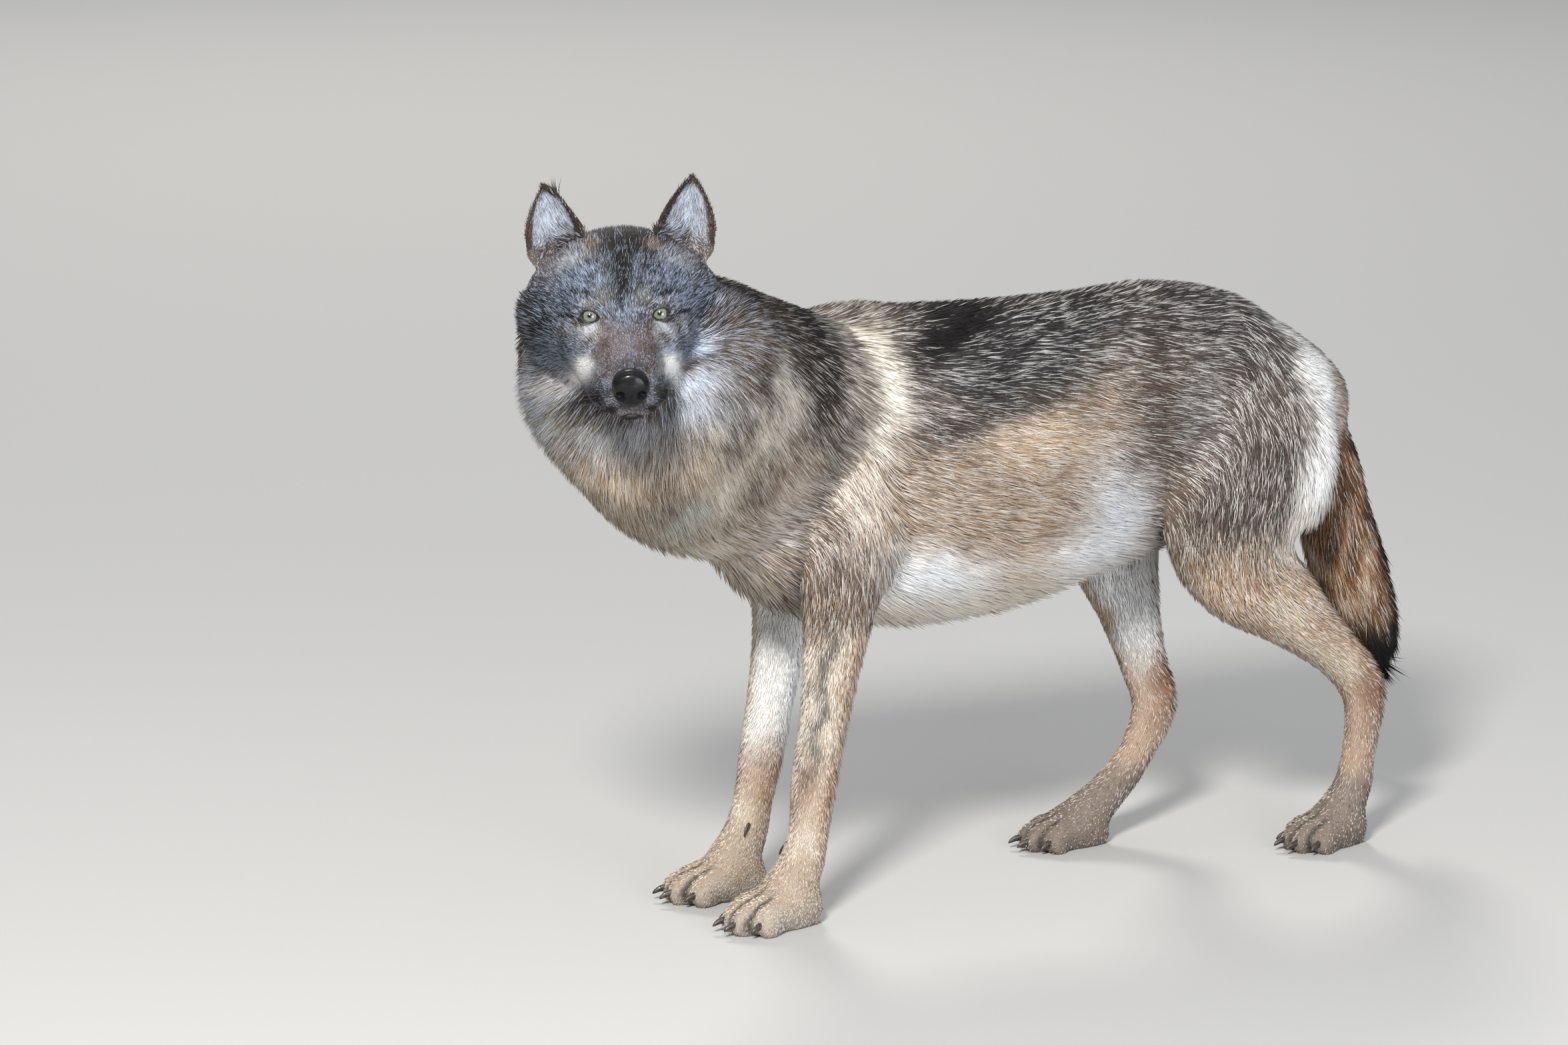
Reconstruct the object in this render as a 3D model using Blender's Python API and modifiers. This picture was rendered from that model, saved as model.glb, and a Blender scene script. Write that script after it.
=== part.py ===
"""Timber wolf standing with its head turned aside, life size, as solids that meet with thin gaps.

The coat's outer form is a set of lofts along the trunk, neck, legs, tail and head, fused and
smoothed, then cut into named nodes. Ears, eyes, nose and claws are solids of their own.
Metres, +Z up. The wolf faces -X, its left side is -Y, and it looks towards -Y.
"""

import bpy
import bmesh
import numpy as np

# ---------------------------------------------------------------- driving sizes
GAP = 0.0003                # between solids that meet
VOXEL = 0.005               # fusing grid of the body
BODY_TRIANGLES = 3650       # of the fused body before it is cut
UP = np.array([0.0, 0.0, 1.0])
AHEAD = np.array([-1.0, 0.0, 0.0])

# Lofts: x, y, z of a station, then its half sizes on the first side, on the other and across.
TRUNK = [
    (0.468, 0, 0.550, 0.020, 0.030, 0.020),
    (0.445, 0, 0.560, 0.060, 0.080, 0.060),
    (0.385, 0, 0.570, 0.106, 0.125, 0.098),
    (0.300, 0, 0.575, 0.150, 0.160, 0.116),
    (0.190, 0, 0.590, 0.163, 0.180, 0.118),
    (0.070, 0, 0.590, 0.160, 0.205, 0.122),
    (-0.050, 0, 0.585, 0.164, 0.226, 0.138),
    (-0.170, 0, 0.580, 0.172, 0.226, 0.148),
    (-0.270, 0, 0.580, 0.176, 0.212, 0.145),
    (-0.360, 0, 0.575, 0.168, 0.192, 0.130),
    (-0.435, 0, 0.560, 0.120, 0.150, 0.105),
    (-0.482, 0, 0.545, 0.045, 0.070, 0.050),
]
NECK = [
    (-0.235, 0.000, 0.590, 0.110, 0.150, 0.125),
    (-0.320, -0.004, 0.630, 0.118, 0.185, 0.138),
    (-0.400, -0.020, 0.670, 0.112, 0.220, 0.145),
    (-0.480, -0.048, 0.712, 0.102, 0.228, 0.150),
    (-0.550, -0.085, 0.748, 0.092, 0.210, 0.158),
    (-0.610, -0.128, 0.775, 0.075, 0.165, 0.148),
    (-0.645, -0.155, 0.785, 0.035, 0.080, 0.085),
]
TAIL = [
    (0.370, 0.000, 0.650, 0.035, 0.040, 0.035),
    (0.420, 0.000, 0.605, 0.042, 0.042, 0.038),
    (0.450, 0.000, 0.530, 0.045, 0.045, 0.042),
    (0.468, 0.000, 0.440, 0.052, 0.050, 0.048),
    (0.494, 0.000, 0.350, 0.055, 0.052, 0.050),
    (0.524, 0.000, 0.270, 0.042, 0.042, 0.040),
    (0.545, 0.000, 0.205, 0.012, 0.012, 0.012),
]
LEGS = {
    "fore_left": [
        (-0.290, -0.050, 0.665, 0.045, 0.045, 0.035),
        (-0.297, -0.080, 0.590, 0.074, 0.076, 0.056),
        (-0.302, -0.098, 0.480, 0.072, 0.070, 0.052),
        (-0.308, -0.098, 0.410, 0.060, 0.042, 0.042),
        (-0.322, -0.095, 0.330, 0.044, 0.034, 0.034),
        (-0.336, -0.090, 0.250, 0.033, 0.033, 0.030),
        (-0.346, -0.086, 0.185, 0.031, 0.032, 0.030),
        (-0.352, -0.084, 0.120, 0.027, 0.030, 0.028),
        (-0.362, -0.082, 0.072, 0.030, 0.030, 0.030),
        (-0.378, -0.080, 0.042, 0.036, 0.032, 0.036),
    ],
    "fore_right": [
        (-0.285, 0.050, 0.665, 0.045, 0.045, 0.035),
        (-0.287, 0.080, 0.590, 0.074, 0.076, 0.056),
        (-0.285, 0.095, 0.480, 0.068, 0.066, 0.052),
        (-0.286, 0.092, 0.410, 0.055, 0.042, 0.042),
        (-0.300, 0.088, 0.330, 0.040, 0.036, 0.034),
        (-0.318, 0.080, 0.250, 0.033, 0.031, 0.030),
        (-0.334, 0.075, 0.185, 0.031, 0.031, 0.030),
        (-0.348, 0.072, 0.120, 0.027, 0.029, 0.028),
        (-0.362, 0.070, 0.072, 0.030, 0.030, 0.030),
        (-0.380, 0.068, 0.042, 0.036, 0.032, 0.036),
    ],
    "hind_left": [
        (0.285, -0.035, 0.685, 0.045, 0.045, 0.030),
        (0.290, -0.064, 0.620, 0.095, 0.096, 0.050),
        (0.285, -0.088, 0.540, 0.125, 0.130, 0.060),
        (0.260, -0.098, 0.460, 0.115, 0.120, 0.055),
        (0.275, -0.098, 0.395, 0.088, 0.080, 0.045),
        (0.350, -0.094, 0.320, 0.052, 0.050, 0.034),
        (0.424, -0.090, 0.258, 0.038, 0.034, 0.026),
        (0.464, -0.087, 0.205, 0.035, 0.035, 0.024),
        (0.462, -0.084, 0.140, 0.026, 0.030, 0.022),
        (0.455, -0.080, 0.075, 0.027, 0.028, 0.024),
        (0.440, -0.078, 0.042, 0.034, 0.030, 0.032),
    ],
    "hind_right": [
        (0.275, 0.035, 0.685, 0.045, 0.045, 0.030),
        (0.275, 0.064, 0.620, 0.090, 0.105, 0.050),
        (0.255, 0.088, 0.540, 0.115, 0.130, 0.060),
        (0.205, 0.096, 0.460, 0.100, 0.105, 0.055),
        (0.195, 0.096, 0.390, 0.072, 0.070, 0.045),
        (0.212, 0.092, 0.310, 0.046, 0.048, 0.034),
        (0.236, 0.088, 0.230, 0.036, 0.035, 0.027),
        (0.252, 0.085, 0.170, 0.034, 0.036, 0.025),
        (0.220, 0.082, 0.110, 0.027, 0.030, 0.023),
        (0.177, 0.080, 0.062, 0.027, 0.028, 0.025),
        (0.147, 0.078, 0.040, 0.032, 0.030, 0.032),
    ],
}

# Each paw: x and y of the ankle over the floor, degrees turned out, and its scale.
PAWS = {
    "fore_left": (-0.372, -0.079, 4, 1.0),
    "fore_right": (-0.374, 0.067, 8, 1.0),
    "hind_left": (0.440, -0.077, 6, 0.92),
    "hind_right": (0.140, 0.078, 4, 0.92),
}
# A paw's own frame is ahead, aside, up. The pad dips under the floor, where the box cuts it flat.
PALM = [
    (-0.030, 0, 0.050, 0.014, 0.012, 0.014),
    (-0.022, 0, 0.046, 0.026, 0.048, 0.028),
    (0.000, 0, 0.040, 0.028, 0.054, 0.036),
    (0.030, 0, 0.031, 0.022, 0.044, 0.040),
    (0.050, 0, 0.024, 0.014, 0.030, 0.030),
    (0.056, 0, 0.022, 0.004, 0.006, 0.012),
]
# Toes: ahead and aside of the tip, then of the knuckle.
TOES = [
    (0.070, -0.036, 0.030, -0.027),
    (0.094, -0.013, 0.042, -0.011),
    (0.094, 0.013, 0.042, 0.011),
    (0.070, 0.036, 0.030, 0.027),
]
TOE_HALF_WIDTH = 0.0135
CLAW_LENGTH = 0.022
CLAW_HALF = (0.0036, 0.0028)        # height and width at its root
DEWCLAW = (-0.012, 0.100)           # ahead of the wrist's axis, height

# Head frame: the origin is midway between the eyes, then ahead, left and up in millimetres.
EYES = np.array([-0.667, -0.220, 0.812])
HEAD_TURN, HEAD_DROP, HEAD_ROLL = np.radians([66.0, 9.0, 1.5])
# Stations of the head: ahead, top, widest height, bottom, half width.
HEAD = [
    (129, -40, -50, -66, 10),
    (126, -34, -49, -72, 20),
    (120, -29, -50, -80, 28),
    (110, -25, -58, -92, 34),
    (90, -17, -62, -97, 40),
    (60, -6, -64, -101, 44),
    (35, 4, -60, -105, 51),
    (15, 16, -50, -108, 62),
    (-5, 36, -38, -111, 74),
    (-30, 58, -30, -116, 90),
    (-60, 74, -30, -124, 108),
    (-90, 80, -35, -134, 122),
    (-115, 74, -40, -142, 124),
    (-140, 56, -45, -138, 104),
    (-158, 15, -45, -100, 60),
]
NOSE = [
    (104, -44, -46, -62, 10),
    (108, -30, -45, -68, 19),
    (118, -25, -43, -71, 21.5),
    (128, -26, -43, -68, 20),
    (134, -31, -44, -60, 13),
    (136.5, -40, -45, -50, 4),
]
NOSTRIL = (134, 9.5, -46, 9, 4.2, 3.2)      # centre ahead, aside, up; half sizes
EYE_CENTRE = (1, 40.8, 0)
EYE_RADIUS = 12
EYE_OPENING = 9.5
# Ears: middle of the base and tip, then half width, cup depth and thickness at the base.
EAR_BASE = (-84, 73, 42)
EAR_TIPS = {"left": (-84, 86, 138), "right": (-84, 88, 131)}
EAR_HALF_WIDTH, EAR_CUP, EAR_THICK = 39, 28, 8

# Cuts through the fused body, in this order. Everything left over is the trunk.
HEAD_BOX = ((-108, 200), (-150, 140), (-130, 200))
JAW_BOX = ((22, 200), (-80, 80), (-200, -80.5))
NECK_CUT = (-0.345, 0.600, 35)              # a point's x and z, degrees the cut leans
LEG_CUTS = {
    "fore_left": ((-0.500, -0.262), (-0.260, -0.045), (0.0, 0.066, 0.205, 0.420)),
    "fore_right": ((-0.500, -0.240), (0.045, 0.260), (0.0, 0.066, 0.205, 0.420)),
    "hind_left": ((0.130, 0.600), (-0.260, -0.030), (0.0, 0.070, 0.250, 0.450)),
    "hind_right": ((0.092, 0.600), (0.030, 0.260), (0.0, 0.070, 0.215, 0.450)),
}
LEG_NODES = {"fore": ("paw", "pastern", "forearm"), "hind": ("paw", "hock", "thigh")}

# Colour, roughness of every material.
MATERIALS = {
    "fur_head": ((0.20, 0.17, 0.14), 0.85),
    "fur_neck": ((0.36, 0.29, 0.21), 0.85),
    "fur_trunk": ((0.27, 0.22, 0.17), 0.85),
    "fur_tail": ((0.16, 0.11, 0.07), 0.85),
    "fur_leg": ((0.46, 0.36, 0.25), 0.85),
    "fur_paw": ((0.38, 0.33, 0.27), 0.85),
    "fur_ear": ((0.17, 0.13, 0.10), 0.85),
    "nose_leather": ((0.012, 0.012, 0.013), 0.35),
    "eye": ((0.45, 0.42, 0.24), 0.08),
    "claw_horn": ((0.05, 0.042, 0.035), 0.45),
}


# ---------------------------------------------------------------- small helpers
def unit(v):
    return v / np.maximum(np.linalg.norm(v, axis=-1, keepdims=True), 1e-12)


def smooth_rows(rows, count):
    """Rows of a table joined by a smooth curve, at even steps of the root of the way along."""
    rows = np.asarray(rows, float)
    steps = np.linalg.norm(np.diff(rows[:, :3], axis=0), axis=1) ** 0.5
    knots = np.concatenate([[0], np.cumsum(steps)])
    slopes = np.gradient(rows, knots, axis=0)
    at = np.linspace(0, knots[-1], count)
    i = np.clip(np.searchsorted(knots, at, side="right") - 1, 0, len(rows) - 2)
    h = (knots[i + 1] - knots[i])[:, None]
    t = (at - knots[i])[:, None] / h
    start = (1 + 2 * t) * (1 - t) ** 2 * rows[i] + t * (1 - t) ** 2 * h * slopes[i]
    end = t * t * (3 - 2 * t) * rows[i + 1] + t * t * (t - 1) * h * slopes[i + 1]
    return start + end


def rings_along(rows, first, rings, around, grow=0.0):
    """Rings square to a curved path, egg-shaped: one half size towards `first`, another behind.

    A pocket is the same tube grown a little, at its ends as well.
    """
    s = smooth_rows(rows, rings)
    tangent = unit(np.gradient(s[:, :3], axis=0))
    u = unit(first - (tangent @ first)[:, None] * tangent)
    v = np.cross(tangent, u)
    turn = np.linspace(0, 2 * np.pi, around, endpoint=False)
    c, q = np.cos(turn), np.sin(turn)
    reach = (np.where(c > 0, s[:, 3:4], s[:, 4:5]) + grow) * c
    aside = (s[:, 5:6] + grow) * q
    centre = s[:, :3].copy()
    centre[0] -= grow * tangent[0]
    centre[-1] += grow * tangent[-1]
    return centre[:, None] + reach[..., None] * u[:, None] + aside[..., None] * v[:, None]


def head_rings(rows, rings, around, grow=0.0):
    """Rings across the head from its table, in metres."""
    s = smooth_rows([(a, 0, m, t - m, m - b, w) for a, t, m, b, w in rows], rings)
    turn = np.linspace(0, 2 * np.pi, around, endpoint=False)
    c, q = np.cos(turn), np.sin(turn)
    reach = (np.where(c > 0, s[:, 3:4], s[:, 4:5]) + grow) * c
    ahead = np.repeat(s[:, 0:1], around, 1)
    ahead[0] -= grow
    ahead[-1] += grow
    return head_point(np.stack([ahead, (s[:, 5:6] + grow) * q, s[:, 2:3] + reach], -1))


def head_axes():
    """Unit vectors ahead of the face, to its left and up."""
    turn, drop, roll = HEAD_TURN, HEAD_DROP, HEAD_ROLL
    ahead = np.array([-np.cos(turn) * np.cos(drop), -np.sin(turn) * np.cos(drop), -np.sin(drop)])
    left = unit(np.cross(UP, ahead))
    up = np.cross(ahead, left)
    rolled_left = left * np.cos(roll) + up * np.sin(roll)
    rolled_up = up * np.cos(roll) - left * np.sin(roll)
    return np.stack([ahead, rolled_left, rolled_up])


def head_point(mm):
    return EYES + np.asarray(mm, float) / 1000 @ head_axes()


def solid(name, points, faces, collection):
    """A closed mesh object whose faces are turned outwards."""
    mesh = bpy.data.meshes.new(name)
    mesh.from_pydata(np.asarray(points).reshape(-1, 3).tolist(), [], faces)
    edit = bmesh.new()
    edit.from_mesh(mesh)
    bmesh.ops.recalc_face_normals(edit, faces=edit.faces)
    if edit.calc_volume(signed=True) < 0:
        bmesh.ops.reverse_faces(edit, faces=edit.faces)
    edit.to_mesh(mesh)
    edit.free()
    made = bpy.data.objects.new(name, mesh)
    collection.objects.link(made)
    return made


def tube(name, rings, collection):
    """Rings of equal count joined into a closed skin with an end cap on each end."""
    count, around = rings.shape[:2]
    faces = []
    for i in range(count - 1):
        for j in range(around):
            k = (j + 1) % around
            a, b = i * around, (i + 1) * around
            faces.append((a + j, a + k, b + k, b + j))
    faces.append(tuple(range(around)))
    faces.append(tuple(range((count - 1) * around, count * around)))
    return solid(name, rings, faces, collection)


def box(name, corner, frame=None):
    """A box from its three ranges, in metres, or in a frame given as (origin, axes)."""
    points = np.array([(x, y, z) for x in corner[0] for y in corner[1] for z in corner[2]])
    if frame is not None:
        points = frame[0] + points @ frame[1]
    faces = [(0, 1, 3, 2), (4, 6, 7, 5), (0, 4, 5, 1), (2, 3, 7, 6), (0, 2, 6, 4), (1, 5, 7, 3)]
    return solid(name, points, faces, cutters)


def grown(corner):
    return [(low - GAP, high + GAP) for low, high in corner]


def applied(obj):
    """Turns the object's modifiers into its mesh."""
    graph = bpy.context.evaluated_depsgraph_get()
    mesh = bpy.data.meshes.new_from_object(obj.evaluated_get(graph))
    obj.modifiers.clear()
    obj.data = mesh
    return obj


def boolean(obj, other, operation):
    change = obj.modifiers.new(operation.lower(), "BOOLEAN")
    change.operation = operation
    change.solver = "EXACT"
    change.object = other
    return applied(obj)


def largest_piece(obj):
    """Keeps the biggest of the separate bodies that a cut leaves."""
    edit = bmesh.new()
    edit.from_mesh(obj.data)
    left = set(edit.verts)
    pieces = []
    while left:
        reached = {left.pop()}
        front = list(reached)
        while front:
            near = {edge.other_vert(v) for v in front for edge in v.link_edges} - reached
            reached |= near
            front = list(near)
        left -= reached
        pieces.append(reached)
    pieces.sort(key=len)
    for piece in pieces[:-1]:
        print(obj.name, "loses a scrap of", len(piece), "points")
        bmesh.ops.delete(edit, geom=list(piece), context="VERTS")
    edit.to_mesh(obj.data)
    edit.free()
    return obj


def copy_of(obj, name, collection):
    made = bpy.data.objects.new(name, obj.data.copy())
    collection.objects.link(made)
    return made


def fused(name, pieces, collection):
    """One mesh holding all the pieces, then thrown away one by one."""
    joined = bmesh.new()
    for piece in pieces:
        joined.from_mesh(piece.data)
    mesh = bpy.data.meshes.new(name)
    joined.to_mesh(mesh)
    joined.free()
    made = bpy.data.objects.new(name, mesh)
    collection.objects.link(made)
    for piece in pieces:
        bpy.data.objects.remove(piece)
    return made


def material(slot):
    if slot in bpy.data.materials:
        return bpy.data.materials[slot]
    colour, rough = MATERIALS[slot]
    made = bpy.data.materials.new(slot)
    made.use_nodes = True
    shader = made.node_tree.nodes["Principled BSDF"]
    shader.inputs["Base Color"].default_value = (*colour, 1)
    shader.inputs["Roughness"].default_value = rough
    return made


def finish(obj, slot):
    """Drops scraps and gives the solid its smooth-shaded material."""
    largest_piece(obj)
    obj.data.materials.clear()
    obj.data.materials.append(material(slot))
    for face in obj.data.polygons:
        face.material_index = 0
    obj.data.shade_smooth()
    return obj


# ---------------------------------------------------------------- sub-parts
def paw_frame(leg):
    x, y, degrees, scale = PAWS[leg]
    out = np.radians(degrees) * (-1 if "left" in leg else 1)
    ahead = np.array([-np.cos(out), np.sin(out), 0])
    aside = np.array([np.sin(out), np.cos(out), 0])
    return np.array([x, y, 0]), np.stack([ahead, aside, UP]), scale


def paw_rows(leg, rows):
    origin, axes, scale = paw_frame(leg)
    rows = np.array(rows, float) * scale
    return np.concatenate([origin + rows[:, :3] @ axes, rows[:, 3:]], 1)


def paw_pieces(leg):
    """The palm and four toes, each dipping a few millimetres under the floor."""
    pieces = [tube("palm", rings_along(paw_rows(leg, PALM), UP, 14, 20), cutters)]
    w = TOE_HALF_WIDTH
    for tip, aside, knuckle, root in TOES:
        rows = [
            (knuckle, root, 0.030, 0.005, 0.005, 0.004),
            (knuckle + 0.004, root, 0.030, 0.013, 0.020, w - 0.001),
            ((tip + knuckle) / 2, (aside + root) / 2, 0.026, 0.014, 0.034, w),
            (tip - 0.012, aside, 0.016, 0.014, 0.028, w),
            (tip - 0.003, aside, 0.011, 0.009, 0.019, 0.009),
            (tip, aside, 0.010, 0.003, 0.003, 0.003),
        ]
        pieces.append(tube("toe", rings_along(paw_rows(leg, rows), UP, 12, 14), cutters))
    return pieces


def claw_rings(rows, grow):
    return rings_along(rows, UP, 4, 5, grow)


def claw_rows(start, ahead):
    """A claw that curves down from its root to a blunt point."""
    high, wide = CLAW_HALF
    rows = []
    for step, drop, size in ((0, 0, 1), (0.35, 0.5, 0.95), (0.7, 3.0, 0.7), (1, 7.0, 0.2)):
        at = start + ahead * CLAW_LENGTH * step - UP * drop / 1000
        rows.append((*at, high * size, high * size, wide * size))
    return rows


def claw_list():
    """(name, rows) of every claw: four on each paw and a dewclaw inside each wrist."""
    found = []
    for leg in LEGS:
        origin, axes, scale = paw_frame(leg)
        for number, (tip, aside, knuckle, root) in enumerate(TOES, 1):
            lean = (aside - root) / (tip - knuckle)
            ahead = unit(axes[0] + lean * axes[1])
            start = origin + np.array([tip - 0.010, aside - lean * 0.010, 0.0165]) * scale @ axes
            found.append((f"claw_{leg}_{number}", claw_rows(start, ahead)))
        if "fore" in leg:
            ahead_of, height = DEWCLAW
            inner = 1 if "left" in leg else -1
            wrist = smooth_rows(LEGS[leg], 40)
            at = wrist[np.argmin(abs(wrist[:, 2] - height))]
            start = at[:3] + np.array([ahead_of, inner * (at[5] - 0.004), 0])
            ahead = unit(np.array([-0.75, inner * 0.35, -0.75]))
            found.append((f"claw_{leg}_dew", claw_rows(start, ahead)))
    return found


def ear(side, grow=0.0):
    """A curved cup: crescents from the base to the tip, open ahead and a little outwards."""
    rings, across = 12, 7
    h = np.linspace(0, 1, rings)[:, None]
    base, tip = np.array(EAR_BASE, float), np.array(EAR_TIPS[side], float)
    centre = base + h[..., None] * (tip - base)
    wide = EAR_HALF_WIDTH * (1 - h ** 2.2) ** 0.85 * (1 - 0.1 * h) + 1.0
    cup = EAR_CUP * (1 - h) ** 0.7 + 3
    thick = EAR_THICK * (1 - 0.55 * h)
    v = np.linspace(-1, 1, across)[None]
    axis = unit(tip - base)
    out = np.array([0, 0.84, -0.54])
    out = unit(out - (out @ axis) * axis)
    back = np.cross(axis, out)
    back = back * np.sign(-back[0])
    curve = 1 - v ** 2
    rear = centre + (wide * v)[..., None] * out + (cup * curve)[..., None] * back
    front = rear - (thick * (0.3 + 0.7 * curve))[..., None] * back
    points = np.concatenate([rear, front[:, ::-1]], 1)
    if side == "right":
        points[..., 1] *= -1
    return tube("ear_" + side, head_point(points), parts)


def eye_parts(side):
    """The ball and its cutter, which is a hair wider and opens to the front."""
    ahead, aside, up = EYE_CENTRE
    centre = head_point((ahead, aside if side == "left" else -aside, up))
    made = []
    for name, radius, collection in (("eye_" + side, EYE_RADIUS, parts),
                                     ("socket_" + side, EYE_RADIUS + GAP * 1000, cutters)):
        steps = np.linspace(-1, 1, 10)[1:-1]
        angle = np.pi / 2 * steps
        rows = [(*(centre + head_axes()[0] * radius / 1000 * np.sin(t)),
                 *(radius / 1000 * np.cos(t),) * 3) for t in angle]
        turn = np.linspace(0, 2 * np.pi, 12, endpoint=False)
        ring = np.cos(turn)[:, None] * head_axes()[1] + np.sin(turn)[:, None] * head_axes()[2]
        rings = np.array([np.array(r[:3]) + r[3] * ring for r in rows])
        made.append(tube(name, rings, collection))
        if collection is cutters:
            way = np.array([0.0, 0.030])
            hole = np.array([centre + head_axes()[0] * d + EYE_OPENING / 1000 * ring for d in way])
            boolean(made[-1], tube("opening", hole, cutters), "UNION")
    return made


def nose():
    """The nose pad and its pocket. Two nostrils are cut into the pad."""
    pad = tube("nose", head_rings(NOSE, 8, 14), parts)
    pocket = tube("nose_pocket", head_rings(NOSE, 8, 14, 1.3 * GAP * 1000), cutters)
    ahead, aside, up, *half = NOSTRIL
    for side in (-1, 1):
        turn = np.linspace(0, 2 * np.pi, 8, endpoint=False)
        rings = []
        for t in np.radians([-75, -40, 0, 40, 75]):
            ring = np.stack([np.full(8, half[0] * np.sin(t)),
                             half[1] * np.cos(t) * np.cos(turn),
                             half[2] * np.cos(t) * np.sin(turn)], -1)
            rings.append(ring + (ahead, side * aside, up))
        boolean(pad, tube("nostril", head_point(rings), cutters), "DIFFERENCE")
    return pad, pocket


def body_form():
    """Trunk, neck, head, legs and paws fused into one smooth surface."""
    pieces = [
        tube("trunk_form", rings_along(TRUNK, UP, 40, 40), cutters),
        tube("neck_form", rings_along(NECK, UP, 30, 40), cutters),
        tube("head_form", head_rings(HEAD, 50, 40), cutters),
    ]
    for leg, rows in LEGS.items():
        pieces.append(tube("leg_form", rings_along(rows, AHEAD, 40, 28), cutters))
        pieces += paw_pieces(leg)
    body = fused("trunk", pieces, parts)
    remesh = body.modifiers.new("fuse", "REMESH")
    remesh.mode = "VOXEL"
    remesh.voxel_size = VOXEL
    applied(body)
    points = np.array([v.co for v in body.data.vertices])
    from_eyes = np.linalg.norm(points - EYES, axis=1)
    detail = np.clip((0.16 - from_eyes) / 0.04, 0, 1) + np.clip((0.12 - points[:, 2]) / 0.04, 0, 1)
    group = body.vertex_groups.new(name="plain")
    for index, value in enumerate(np.clip(1 - 0.1 * detail, 0, 1)):
        group.add([index], float(value), "REPLACE")
    for repeats, weights in ((5, ""), (24, "plain")):
        soften = body.modifiers.new("soften", "SMOOTH")
        soften.factor = 0.5
        soften.iterations = repeats
        soften.vertex_group = weights
    thin = body.modifiers.new("thin", "DECIMATE")
    thin.ratio = BODY_TRIANGLES / (2 * len(body.data.polygons))
    thin.vertex_group = "plain"
    thin.use_collapse_triangulate = True
    applied(body)
    body.vertex_groups.clear()
    return body


def tail():
    return tube("tail", rings_along(TAIL, np.array([1.0, 0, 0.6]), 20, 14), parts)


# ---------------------------------------------------------------- assembly
def take(body, name, corner, slot, frame=None):
    """Cuts a named node out of the body, leaving a thin gap."""
    node = boolean(copy_of(body, name, parts), box(name + "_cut", corner, frame), "INTERSECT")
    boolean(body, box(name + "_clear", grown(corner), frame), "DIFFERENCE")
    return finish(node, slot)


def build():
    body = body_form()
    boolean(body, box("floor", ((-1, 1), (-1, 1), (-0.5, 0.0))), "DIFFERENCE")
    swollen = copy_of(body, "body_outer", cutters)
    push = swollen.modifiers.new("push", "DISPLACE")
    push.mid_level = 0
    push.strength = 1.4 * GAP
    applied(swollen)

    for side in ("left", "right"):
        finish(boolean(ear(side), swollen, "DIFFERENCE"), "fur_ear")
    finish(boolean(tail(), swollen, "DIFFERENCE"), "fur_tail")

    for side in ("left", "right"):
        ball, socket = eye_parts(side)
        finish(ball, "eye")
        boolean(body, socket, "DIFFERENCE")
    pad, pocket = nose()
    finish(pad, "nose_leather")
    boolean(body, pocket, "DIFFERENCE")

    pockets = []
    for name, rows in claw_list():
        finish(tube(name, claw_rings(rows, 0.0), parts), "claw_horn")
        pockets.append(tube(name + "_pocket", claw_rings(rows, GAP), cutters))
    boolean(body, fused("claw_pockets", pockets, cutters), "DIFFERENCE")

    axes = head_axes()
    in_metres = [tuple(v / 1000 for v in pair) for pair in HEAD_BOX]
    head = take(body, "head", in_metres, "fur_head", (EYES, axes))
    in_metres = [tuple(v / 1000 for v in pair) for pair in JAW_BOX]
    take(head, "jaw", in_metres, "fur_head", (EYES, axes))
    for leg, (xs, ys, heights) in LEG_CUTS.items():
        names = LEG_NODES[leg.split("_")[0]]
        for name, low, high in zip(names, heights[:-1], heights[1:]):
            last = high == heights[-1]
            reach = xs if last else ((-0.7, 0) if "fore" in leg else (0, 0.7))
            corner = (reach, ys, (low, high if last else high - GAP))
            take(body, f"{name}_{leg}", corner, "fur_paw" if name == "paw" else "fur_leg")
    x, z, lean = NECK_CUT
    lean = np.radians(lean)
    ahead = np.array([-np.cos(lean), 0, np.sin(lean)])
    frame = (np.array([x, 0, z]), np.stack([ahead, np.array([0, -1.0, 0]), np.cross(ahead, (0, -1.0, 0))]))
    take(body, "neck", ((0, 0.7), (-0.5, 0.5), (-0.6, 0.6)), "fur_neck", frame)
    finish(body, "fur_trunk")


def centre_on_floor():
    """Moves every solid so that the middle of the whole's box stands over the origin."""
    low = np.min([np.array(o.bound_box).min(0) for o in parts.objects], axis=0)
    high = np.max([np.array(o.bound_box).max(0) for o in parts.objects], axis=0)
    shift = np.array([(low[0] + high[0]) / 2, (low[1] + high[1]) / 2, low[2]])
    for made in parts.objects:
        points = np.array([v.co for v in made.data.vertices]) - shift
        made.data.vertices.foreach_set("co", points.ravel())
        made.data.update()
    print("shift", shift.round(5).tolist(), "size", (high - low).round(4).tolist())


for old in list(bpy.data.objects):
    bpy.data.objects.remove(old)
parts = bpy.data.collections.new("timber_wolf")
cutters = bpy.data.collections.new("cutters")
for group in (parts, cutters):
    bpy.context.scene.collection.children.link(group)
build()
centre_on_floor()
for helper in cutters.objects:
    helper.hide_render = True
    helper.display_type = "WIRE"
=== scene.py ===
"""Timber wolf standing with its head turned aside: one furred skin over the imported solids."""

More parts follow.
